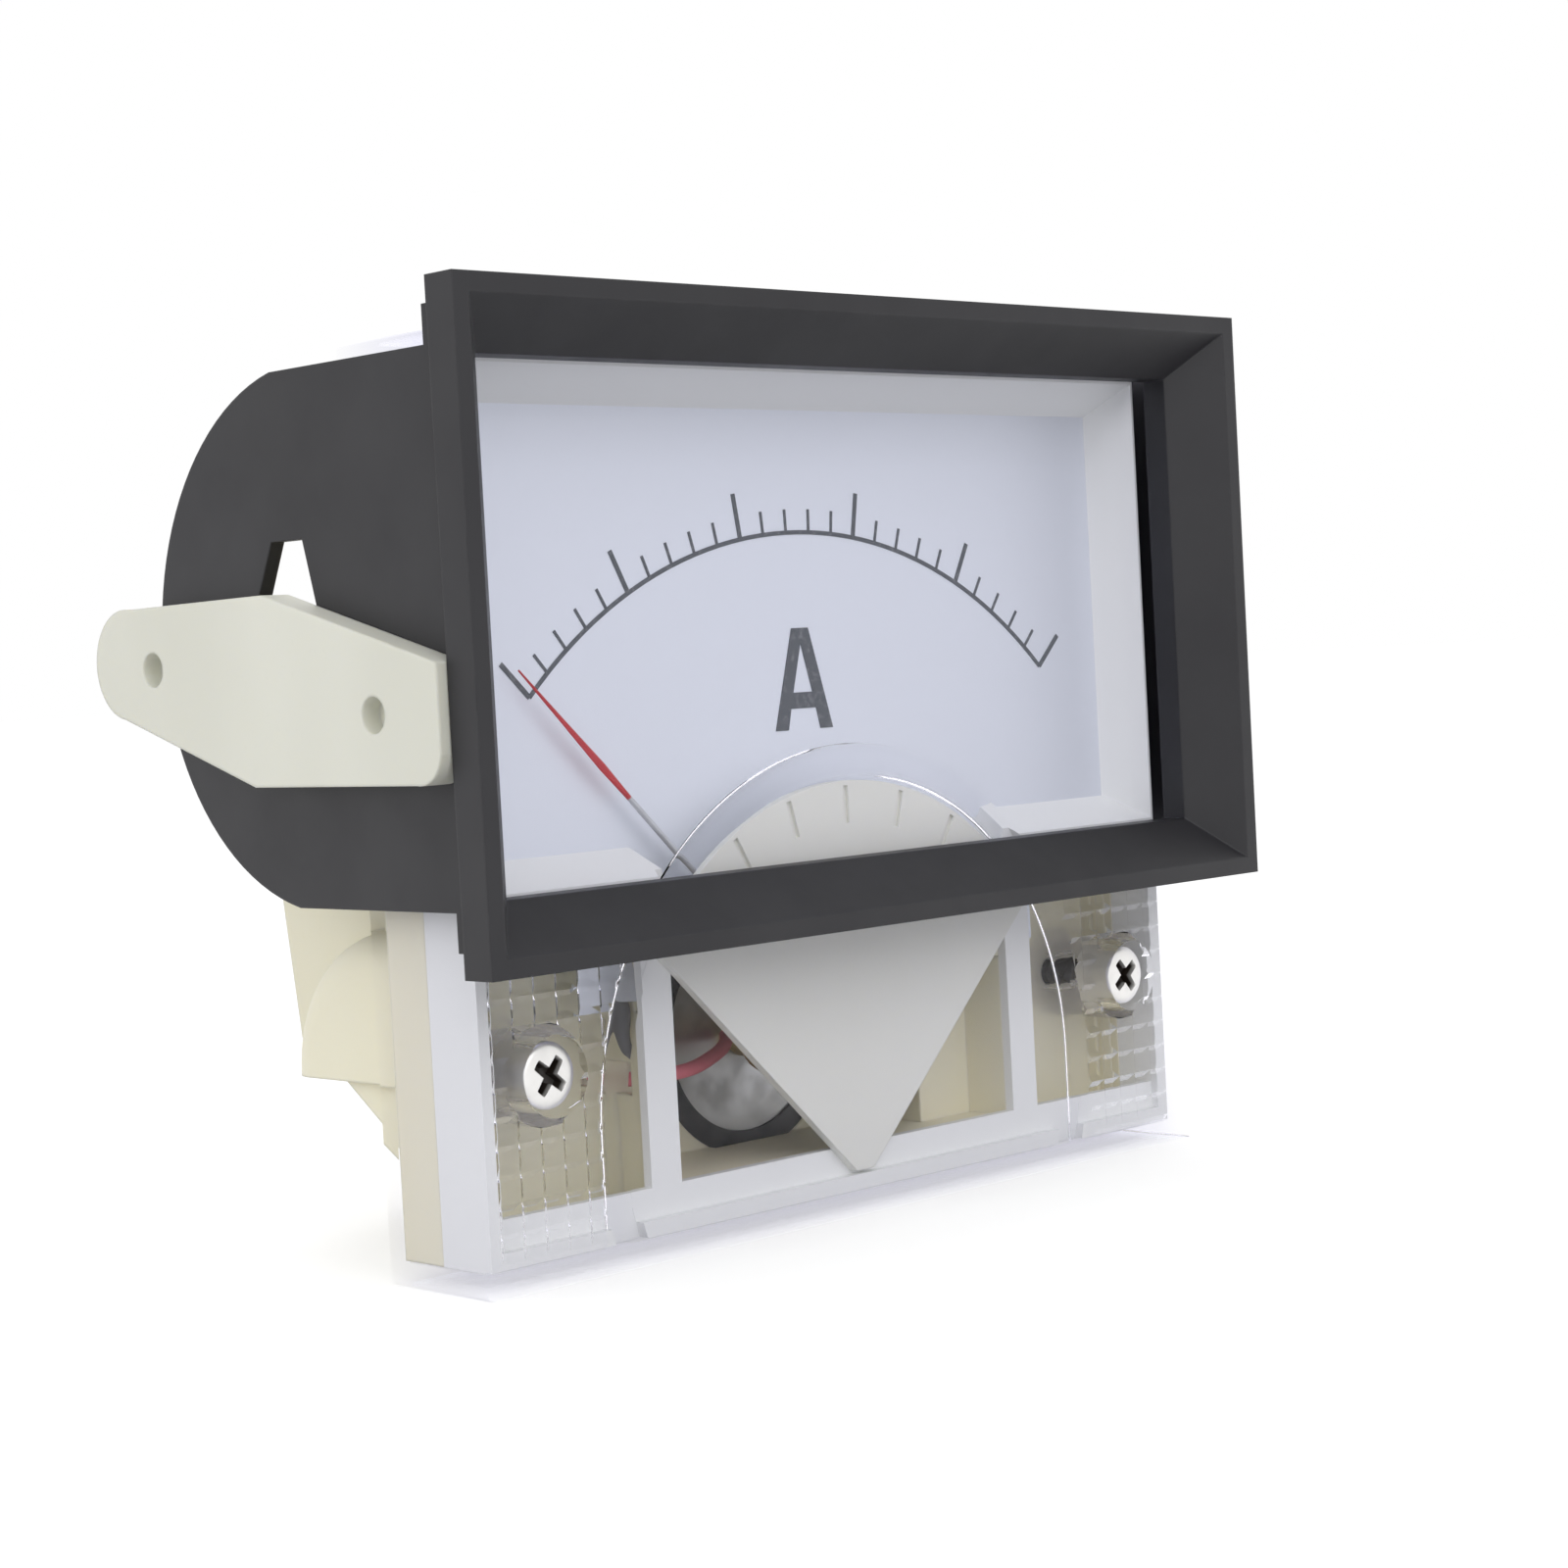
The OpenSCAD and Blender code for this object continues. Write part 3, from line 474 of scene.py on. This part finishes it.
class Finish(Enum):
    """Every finish on the meter."""

    # the third colour of each moulded plastic is its painted edge highlight
    BEZEL = MouldedPlastic("dark_bezel_plastic", (0.0105, 0.010, 0.013), (0.014, 0.0135, 0.017),
                           (0.045, 0.045, 0.05), 0.5, 0.22, 0.004, 0.3, 0.5)
    BRACKET = MouldedPlastic("bracket_nylon", (0.76, 0.76, 0.68), (0.71, 0.71, 0.63),
                             (0.86, 0.86, 0.80), 0.5, 0.5, 0.004, 0.45, 0.5, 0.25)
    MASK = MouldedPlastic("mask_plastic", (0.86, 0.87, 0.83), (0.83, 0.84, 0.80),
                          (0.90, 0.91, 0.88), 0.5, 0.3, 0.003, 0.12, 0.4, 0.1)
    SHIELD = MouldedPlastic("shield_plastic", (0.86, 0.86, 0.80), (0.83, 0.83, 0.765),
                            (0.90, 0.90, 0.86), 0.52, 0.3, 0.004, 0.15, 0.4, 0.1)
    HOUSING = MouldedPlastic("housing_plastic", (0.88, 0.845, 0.68), (0.85, 0.805, 0.62),
                             (0.92, 0.90, 0.80), 0.5, 0.4, 0.006, 0.4, 0.45, 0.2)
    CLEAR = ClearPlastic("clear_cover_plastic", (0.99, 0.99, 0.997), (0.55, 0.55, 0.80), 28.0)
    DIAL = Enamel("dial_enamel", (0.62, 0.67, 0.80), (0.605, 0.655, 0.785), 0.45)
    POINTER_RED = PointerPaint("pointer_enamel", (0.56, 0.03, 0.04), (0.62, 0.63, 0.66))
    INK = Ink("dial_ink", (0.105, 0.115, 0.13))
    STEEL = BareMetal("plated_steel", (0.62, 0.61, 0.60), (0.45, 0.44, 0.43), 0.28)
    SCREW = ScrewHead("nickel_screw", (0.88, 0.87, 0.85), (0.022, 0.016, 0.012))
    YOKE = BareMetal("dark_yoke_iron", (0.10, 0.10, 0.11), (0.06, 0.06, 0.065), 0.5)
    MAGNET = BareMetal("magnet_alloy", (0.22, 0.22, 0.235), (0.15, 0.15, 0.16), 0.42)
    ALUMINIUM = BareMetal("satin_aluminium", (0.55, 0.555, 0.56), (0.44, 0.445, 0.45), 0.4)
    BRASS = BareMetal("drawn_brass", (0.74, 0.55, 0.23), (0.50, 0.35, 0.15), 0.3)
    MANGANIN = BareMetal("shunt_alloy", (0.50, 0.37, 0.22), (0.36, 0.26, 0.16), 0.45, (12, 1, 1))
    BRONZE = BareMetal("spring_bronze", (0.62, 0.38, 0.16), (0.48, 0.28, 0.12), 0.32)
    COIL = WoundWire("coil_wire", (0.62, 0.26, 0.10), 0.16)
    RED_WIRE = Insulation("red_sleeve", (0.58, 0.035, 0.05))
    BLACK_WIRE = Insulation("black_sleeve", (0.02, 0.02, 0.022))

    def material(self) -> bpy.types.Material:
        """The finish's material, made the first time that it is asked for."""
        made = bpy.data.materials.get(self.value.name)
        return made or self.value.build()


def dress(node: str, finish: Finish) -> None:
    """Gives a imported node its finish.

    Args:
        node: the node's name.
        finish: what it is made of.
    """
    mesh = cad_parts[node].data
    mesh.materials.clear()
    mesh.materials.append(finish.material())
    LOG.info("dressed %s as %s", node, finish.name.lower())


# ------------------------------------------------------------------ surfaces


@dataclass
class Surface:
    """Vertices in millimetres, with faces as lists of their numbers."""

    points: np.ndarray
    faces: list[list[int]] = field(default_factory=list)

    def joined(self, other: "Surface") -> "Surface":
        """This surface and another one as one, still unconnected."""
        shift = len(self.points)
        moved = [[i + shift for i in face] for face in other.faces]
        return Surface(np.vstack([self.points, other.points]), self.faces + moved)

    def turned(self, axis: Vector, degrees: float) -> "Surface":
        """This surface turned about an axis through the origin."""
        matrix = np.array(Matrix.Rotation(math.radians(degrees), 3, axis))
        return Surface(self.points @ matrix.T, self.faces)

    def moved(self, offset: tuple[float, float, float]) -> "Surface":
        """This surface shifted by an offset in millimetres."""
        return Surface(self.points + np.array(offset, float), self.faces)

    def object(self, name: str, finish: Finish, body: Body, smooth_deg: float = 35.0) -> bpy.types.Object:
        """Makes the Blender object and lets it ride on a body.

        Args:
            name: the piece's name.
            finish: what it is made of.
            body: the body that it moves with.
            smooth_deg: edges sharper than this stay sharp.

        Returns:
            The new object, with its place in its mesh.
        """
        mesh = bpy.data.meshes.new(name)
        mesh.from_pydata((self.points * MM).tolist(), [], self.faces)
        mesh.update()
        mesh.shade_smooth()
        mesh.set_sharp_from_angle(angle=math.radians(smooth_deg))
        mesh.materials.append(finish.material())
        piece = bpy.data.objects.new(name, mesh)
        bpy.context.scene.collection.objects.link(piece)
        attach(piece, body.value)
        LOG.info("made %s: %d faces", name, len(self.faces))
        return piece


def closed_rings(rings: np.ndarray) -> Surface:
    """Joins rings of points into a closed skin with a point at each end.

    The skin is S(u, v): u counts the rings and v goes round each. The end points are the
    means of the first and last rings.

    Args:
        rings: an array of shape (rings, points in a ring, 3), the points running the same way.

    Returns:
        The skin, with its faces outwards.
    """
    count, around = rings.shape[:2]
    u, v = np.meshgrid(np.arange(count - 1), np.arange(around), indexing="ij")
    w = (v + 1) % around
    quads = np.stack([u * around + v, u * around + w, (u + 1) * around + w,
                      (u + 1) * around + v], axis=-1).reshape(-1, 4)
    first, last = count * around, count * around + 1
    ring = np.arange(around)
    following = (ring + 1) % around
    tail = (count - 1) * around
    start = np.stack([following, ring, np.full(around, first)], axis=-1)
    end = np.stack([tail + ring, tail + following, np.full(around, last)], axis=-1)
    points = np.vstack([rings.reshape(-1, 3), rings[0].mean(0), rings[-1].mean(0)])
    faces = quads.tolist() + start.tolist() + end.tolist()
    corners = points[quads]
    volume = np.einsum("ij,ij->i", corners[:, 0], np.cross(corners[:, 1], corners[:, 2])).sum()
    volume += np.einsum("ij,ij->i", corners[:, 0], np.cross(corners[:, 2], corners[:, 3])).sum()
    if volume < 0:
        faces = [face[::-1] for face in faces]
    return Surface(points, faces)


def turned_form(height: np.ndarray, radius: np.ndarray) -> Surface:
    """A closed form round the Y axis whose radius may also change with the angle.

    A point is (R cos t, y, R sin t), where R is the radius at (y, t).

    Args:
        height: the Y of each ring, an array of shape (rings,) or (rings, points in a ring).
        radius: the radius, an array of shape (rings, points in a ring).

    Returns:
        The closed form.
    """
    angle = np.linspace(0, 2 * np.pi, radius.shape[1], endpoint=False)
    y = np.broadcast_to(height if height.ndim == 2 else height[:, None], radius.shape)
    return closed_rings(np.stack([radius * np.cos(angle), y, radius * np.sin(angle)], axis=-1))


def threaded_rod(y0: float, y1: float, radius: float, pitch: float, chamfer: float = 0.5) -> Surface:
    """A rod along Y with a V thread.

    The radius is R - depth * |2 frac(y / pitch - t / 2 pi) - 1|, eased at the crests, and it
    runs down to the root over the chamfer at both ends.

    Args:
        y0: the front end.
        y1: the rear end.
        radius: the thread's outer radius.
        pitch: the distance between crests.
        chamfer: the length of the run-out at each end.

    Returns:
        The rod.
    """
    depth = 0.54 * pitch
    y = np.linspace(y0, y1, max(24, int(10 * (y1 - y0) / pitch)))
    turn = np.linspace(0, 1, 40, endpoint=False)
    phase = np.abs(2 * np.mod(y[:, None] / pitch - turn[None, :], 1) - 1)
    flank = np.clip((phase - 0.12) / 0.76, 0, 1)
    end = np.clip(np.minimum(y - y0, y1 - y) / chamfer, 0, 1)[:, None]
    limit = radius - depth * (1 - end)
    return turned_form(y, np.minimum(radius - depth * flank, limit))


def tube(path: np.ndarray, radius: float, around: int = 20) -> Surface:
    """A round tube along a smooth curve through given points.

    The curve is a Catmull-Rom spline. Each ring stands square to it, on the axes
    n = t x k and b = t x n, where t is the direction and k a fixed vector.

    Args:
        path: the points, an array of shape (points, 3).
        radius: the tube's radius.
        around: points in each ring.

    Returns:
        The tube, closed at both ends.
    """
    ends = np.vstack([2 * path[0] - path[1], path, 2 * path[-1] - path[-2]])
    s = np.linspace(0, 1, 12, endpoint=False)[None, :, None]
    p0, p1, p2, p3 = (ends[i:len(ends) - 3 + i][:, None, :] for i in range(4))
    curve = 0.5 * (2 * p1 + (p2 - p0) * s + (2 * p0 - 5 * p1 + 4 * p2 - p3) * s ** 2
                   + (3 * p1 - p0 - 3 * p2 + p3) * s ** 3)
    line = np.vstack([curve.reshape(-1, 3), path[-1]])
    t = np.gradient(line, axis=0)
    t /= np.linalg.norm(t, axis=1, keepdims=True)
    n = np.cross(t, [0.12, 0.97, 0.21])
    n /= np.linalg.norm(n, axis=1, keepdims=True)
    b = np.cross(t, n)
    angle = np.linspace(0, 2 * np.pi, around, endpoint=False)[None, :, None]
    rings = line[:, None] + radius * (np.cos(angle) * n[:, None] + np.sin(angle) * b[:, None])
    return closed_rings(rings)


def cross_head(radius: float, rise: float, depth: float) -> Surface:
    """A pan head on the Y axis, facing -Y, with a cross recess.

    The crown is y = -rise + 0.7 (1 - (1 - (r / R)^6)^(1/2)), with a straight side below it. The
    recess goes down by depth inside two crossed bars whose half width narrows to the tips.

    Args:
        radius: the head's radius.
        rise: the crown's height in front of the seat.
        depth: the recess's depth below the crown.

    Returns:
        The head, closed at its seat.
    """
    r = radius * np.sin(np.linspace(0.004, np.pi / 2, 56))[:, None]
    t = np.linspace(0, 2 * np.pi, 288, endpoint=False)[None, :]
    x, z = r * np.cos(t), r * np.sin(t)
    along, across = np.maximum(np.abs(x), np.abs(z)), np.minimum(np.abs(x), np.abs(z))
    half_width = 0.17 * radius * (1 - 0.25 * along / radius)
    wall = np.clip((half_width - across) / (0.03 * radius) + 0.5, 0, 1)
    tip = np.clip((0.62 * radius - along) / (0.10 * radius), 0, 1)
    crown = -rise + 0.7 * (1 - np.sqrt(np.clip(1 - (r / radius) ** 6, 0, 1)))
    y = crown + depth * wall * tip * (1 - 0.35 * along / radius)
    top = np.stack([x, y, z], axis=-1)
    seat = np.stack([x[-1:], np.zeros_like(x[-1:]), z[-1:]], axis=-1)
    return closed_rings(np.concatenate([top, seat]))


# ------------------------------------------------------------------ sub-assemblies


@dataclass
class Bezel:
    """The dark frame with its cheeks, and the two pale brackets on them."""

    def dress(self) -> None:
        """Dresses the frame and both brackets."""
        dress("bezel_frame", Finish.BEZEL)
        dress("left_clamp_bracket", Finish.BRACKET)
        dress("right_clamp_bracket", Finish.BRACKET)


@dataclass
class ClearFront:
    """The clear cover and the two screws sunk in its bosses."""

    screw_x: float = 40.6
    screw_z: float = -40.2
    seat_y: float = 10.5
    head_r: float = 3.1
    head_h: float = 5.6
    shank_r: float = 1.35
    shank_end: float = 27.0

    def screw(self, side: int) -> Surface:
        """One screw: a tall head with a cross recess on a threaded shank."""
        head = cross_head(self.head_r, self.head_h, 1.6).turned(Vector((0, 1, 0)), 45 + 7 * side)
        shank = threaded_rod(0.0, self.shank_end - self.seat_y, self.shank_r, 0.9)
        return head.joined(shank).moved((side * self.screw_x, self.seat_y, self.screw_z))

    def build(self) -> None:
        """Dresses the cover and makes the screws in place of their plain solids."""
        dress("clear_cover", Finish.CLEAR)
        pair = self.screw(-1).joined(self.screw(1))
        piece = pair.object("cross_head_screws", Finish.SCREW, Body.CASE)
        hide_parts("cover_screws")


@dataclass
class DialGroup:
    """The mask, the dial with its print, and the shield over the pointer's hub."""

    def dress(self) -> None:
        """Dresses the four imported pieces."""
        dress("dial_mask", Finish.MASK)
        dress("dial_plate", Finish.DIAL)
        dress("scale_print", Finish.INK)
        dress("hub_shield", Finish.SHIELD)


@dataclass
class RearHousing:
    """The cream housing with its terminals and the shunt inside it."""

    stud_x: float = 25.0
    stud_z: float = -12.0
    stud_r: float = 2.5
    stud_y0: float = 37.1
    stud_y1: float = 62.3
    head_across: float = 8.0
    head_depth: float = 2.1

    def stud(self, side: int) -> Surface:
        """One stud: a six-sided head inside the housing and a threaded shank."""
        y = np.array([self.stud_y0 - 0.1, self.stud_y0, self.stud_y0 + self.head_depth - 0.1])
        corner = self.head_across / 2 / math.cos(math.pi / 6)
        head = turned_form(y, corner * np.array([[0.94] * 6, [1.0] * 6, [1.0] * 6]))
        rod = threaded_rod(self.stud_y0 + 1.0, self.stud_y1, self.stud_r, 0.8, 0.7)
        return head.joined(rod).moved((side * self.stud_x, 0.0, self.stud_z))

    def build(self) -> None:
        """Dresses the housing and its hardware, and makes the threaded studs."""
        dress("rear_base", Finish.HOUSING)
        dress("shunt_strip", Finish.MANGANIN)
        dress("inner_nuts", Finish.BRASS)
        dress("terminal_nuts", Finish.BRASS)
        dress("terminal_washers", Finish.STEEL)
        pair = self.stud(-1).joined(self.stud(1))
        piece = pair.object("threaded_studs", Finish.BRASS, Body.CASE)
        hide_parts("terminal_studs")


@dataclass
class Movement:
    """The moving coil, its pivots and springs, the magnet and the two leads."""

    pivot_z: float = -42.0
    pointer_y: float = 9.3
    rest_deg: float = -45.0
    tube_r: float = 0.26
    lance: tuple = ((35.6, 0.26, 0.26), (36.6, 0.26, 0.24), (40.7, 0.42, 0.14), (47.0, 0.24, 0.12),
                    (54.0, 0.09, 0.09))
    red_route: tuple = ((-24.0, 14.3, -43.3), (-21.0, 14.4, -43.6), (-14.5, 15.5, -43.7),
                        (-9.5, 17.4, -43.2), (-5.9, 19.4, -42.6), (-3.3, 21.8, -42.0))
    black_route: tuple = ((-25.6, 12.9, -33.0), (-25.4, 12.7, -36.3), (-25.9, 12.6, -38.6),
                          (-25.75, 12.6, -40.0), (-25.27, 12.6, -40.7))
    red_r: float = 0.7
    black_r: float = 0.45

    def dress(self) -> None:
        """Dresses the moving and the fixed pieces of the movement."""
        finishes = {
            "balance_weights": Finish.BRASS,
            "pivot_staffs": Finish.STEEL, "coil_former": Finish.ALUMINIUM,
            "coil_winding": Finish.COIL, "front_hairspring": Finish.BRONZE,
            "rear_hairspring": Finish.BRONZE, "front_jewel_screw": Finish.BRASS,
            "rear_jewel_screw": Finish.BRASS, "front_bridge": Finish.ALUMINIUM,
            "rear_bridge": Finish.ALUMINIUM, "zero_lever": Finish.BRASS,
            "yoke_ring": Finish.YOKE, "core_magnet": Finish.MAGNET,
            "core_spacers": Finish.BRASS, "bridge_screws": Finish.STEEL,
        }
        for node, finish in finishes.items():
            dress(node, finish)

    def build_pointer(self) -> None:
        """Makes the pointer: hub, three short arms, a thin tube and a flat lance.

        The lance's section at radius r is an ellipse w(r) wide and d(r) deep, both drawn by
        straight interpolation between the listed radii.
        """
        stops = np.array(self.lance)
        r = np.linspace(stops[0, 0], stops[-1, 0], 48)
        width, depth = (np.interp(r, stops[:, 0], stops[:, i])[:, None] for i in (1, 2))
        t = np.linspace(0, 2 * np.pi, 16, endpoint=False)[None, :]
        rings = np.stack([width * np.cos(t), depth * np.sin(t),
                          np.broadcast_to(r[:, None], (48, 16))], axis=-1)
        form = closed_rings(rings)
        reach = stops[0, 0] + 0.3
        for angle, length in ((0, reach), (90, 6.2), (180, 6.2), (270, 6.2)):
            rod = tube(np.array([[0, 0, 1.2], [0, 0, length / 2], [0, 0, length]]),
                       self.tube_r + 0.03)
            form = form.joined(rod.turned(Vector((0, 1, 0)), angle))
        y = np.array([-0.6, -0.52, 0.52, 0.6])
        hub = turned_form(y, np.repeat(np.array([[1.7], [1.8], [1.8], [1.7]]), 48, axis=1))
        form = form.joined(hub).turned(Vector((0, 1, 0)), self.rest_deg)
        piece = form.moved((0.0, self.pointer_y, self.pivot_z)).object(
            "lance_pointer", Finish.POINTER_RED, Body.POINTER)
        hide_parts("pointer")

    def build_leads(self) -> None:
        """Makes the two leads as smooth sleeves in place of their jointed solids."""
        for name, route, radius, finish in (
            ("red_lead", self.red_route, self.red_r, Finish.RED_WIRE),
            ("black_lead", self.black_route, self.black_r, Finish.BLACK_WIRE),
        ):
            piece = tube(np.array(route), radius).object(name + "_sleeve", finish, Body.CASE)
            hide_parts(name)


# ------------------------------------------------------------------ studio


@dataclass(frozen=True)
class Lamp:
    """One soft lamp, aimed at a point."""

    name: str
    place: tuple[float, float, float]
    size: float
    watts: float
    aim: tuple[float, float, float] = (0.0, 0.01, -0.015)

    def build(self) -> None:
        """Makes the lamp."""
        data = bpy.data.lights.new(self.name, "AREA")
        data.shape, data.size, data.energy = "SQUARE", self.size, self.watts
        lamp = bpy.data.objects.new(self.name, data)
        lamp.location = self.place
        aim = Vector(self.aim) - Vector(self.place)
        lamp.rotation_euler = aim.to_track_quat("-Z", "Y").to_euler()
        bpy.context.scene.collection.objects.link(lamp)


@dataclass
class Studio:
    """A white sweep, soft lamps and the camera."""

    ambient: float = 0.80
    floor_colour: Colour = (0.62, 0.62, 0.62)
    floor_lift: float = 0.52
    floor_half: float = 6.0
    lamps: tuple[Lamp, ...] = (
        Lamp("key_lamp", (-0.30, -0.75, 0.55), 0.7, 2.3),
        Lamp("side_lamp", (-0.85, -0.05, 0.30), 0.6, 1.3),
        Lamp("top_lamp", (0.25, 0.20, 0.85), 0.6, 1.4),
    )
    camera_place: tuple[float, float, float] = (-0.21595, -0.20613, -0.00379)
    camera_azimuth_deg: float = 44.381
    camera_fall_deg: float = 2.389
    camera_roll_deg: float = 3.093
    lens_mm: float = 70.46

    def build_world(self) -> None:
        """A plain white surround that lights the object at its own, lower strength."""
        world = bpy.data.worlds.new("white_surround")
        bpy.context.scene.world = world
        world.use_nodes = True
        tree = world.node_tree
        tree.nodes.clear()
        seen = self._direct_rays(tree)
        low, high, mix = (tree.nodes.new(k) for k in (
            "ShaderNodeBackground", "ShaderNodeBackground", "ShaderNodeMixShader"))
        low.inputs["Color"].default_value = (1, 1, 1, 1)
        low.inputs["Strength"].default_value = self.ambient
        high.inputs["Color"].default_value = (1, 1, 1, 1)
        high.inputs["Strength"].default_value = 1.0
        out = tree.nodes.new("ShaderNodeOutputWorld")
        tree.links.new(seen, mix.inputs[0])
        tree.links.new(low.outputs[0], mix.inputs[1])
        tree.links.new(high.outputs[0], mix.inputs[2])
        tree.links.new(mix.outputs[0], out.inputs["Surface"])

    @staticmethod
    def _direct_rays(tree: bpy.types.NodeTree) -> Socket:
        """1 for rays that show the surround itself, in a mirror or through glass too.

        A ray that has already left a matt surface only carries light, so it counts as 0.
        """
        path = tree.nodes.new("ShaderNodeLightPath")
        total: Socket = path.outputs["Is Camera Ray"]
        for kind in ("Is Glossy Ray", "Is Transmission Ray"):
            either = tree.nodes.new("ShaderNodeMath")
            either.operation = "MAXIMUM"
            tree.links.new(total, either.inputs[0])
            tree.links.new(path.outputs[kind], either.inputs[1])
            total = either.outputs[0]
        first = tree.nodes.new("ShaderNodeMath")
        first.operation = "LESS_THAN"
        first.inputs[1].default_value = 0.5
        tree.links.new(path.outputs["Diffuse Depth"], first.inputs[0])
        kept = tree.nodes.new("ShaderNodeMath")
        kept.operation = "MULTIPLY"
        tree.links.new(total, kept.inputs[0])
        tree.links.new(first.outputs[0], kept.inputs[1])
        return kept.outputs[0]

    def build_floor(self, level: float) -> None:
        """A wide pale floor that takes the object's shadow.

        Args:
            level: its height in metres.
        """
        h = self.floor_half
        mesh = bpy.data.meshes.new("studio_floor")
        mesh.from_pydata([(-h, -h, level), (h, -h, level), (h, h, level), (-h, h, level)], [],
                         [(0, 1, 2, 3)])
        sheet = Sheet("white_sweep")
        tree = sheet.tree
        paint = sheet.add("ShaderNodeBsdfDiffuse", {"Color": (*self.floor_colour, 1.0)})
        lift = sheet.add("ShaderNodeEmission", {"Color": (1, 1, 1, 1)})
        shown = sheet.math("MULTIPLY", self._direct_rays(tree), self.floor_lift)
        tree.links.new(shown, lift.inputs["Strength"])
        both = sheet.add("ShaderNodeAddShader", {0: paint.outputs[0], 1: lift.outputs[0]})
        mesh.materials.append(sheet.finish(both.outputs[0]))
        floor = bpy.data.objects.new("studio_floor", mesh)
        bpy.context.scene.collection.objects.link(floor)
        floor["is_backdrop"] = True

    def build_camera(self) -> None:
        """The camera, turned from looking along +Y to its own direction."""
        data = bpy.data.cameras.new("studio_camera")
        data.lens, data.sensor_width = self.lens_mm, 36.0
        data.clip_start, data.clip_end = 0.01, 50.0
        camera = bpy.data.objects.new("studio_camera", data)
        turn = (Matrix.Rotation(math.radians(-self.camera_azimuth_deg), 4, "Z")
                @ Matrix.Rotation(math.radians(90 - self.camera_fall_deg), 4, "X")
                @ Matrix.Rotation(math.radians(-self.camera_roll_deg), 4, "Z"))
        camera.matrix_world = Matrix.Translation(self.camera_place) @ turn
        bpy.context.scene.collection.objects.link(camera)
        bpy.context.scene.camera = camera

    def build(self, level: float) -> None:
        """Makes the whole studio round an object that stands at a level."""
        self.build_world()
        self.build_floor(level)
        for lamp in self.lamps:
            lamp.build()
        self.build_camera()
        bpy.context.scene.view_settings.view_transform = "Standard"


def corners() -> list[list[float]]:
    """The whole object's lowest and highest corners, as plain numbers."""
    return [list(corner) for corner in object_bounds()]


def main() -> None:
    """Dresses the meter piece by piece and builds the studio."""
    logging.basicConfig(level=logging.INFO, format="%(message)s")
    solids = corners()
    Bezel().dress()
    ClearFront().build()
    DialGroup().dress()
    RearHousing().build()
    movement = Movement()
    movement.dress()
    movement.build_pointer()
    movement.build_leads()
    Studio().build(solids[0][2])


if __name__ == "__main__":
    main()
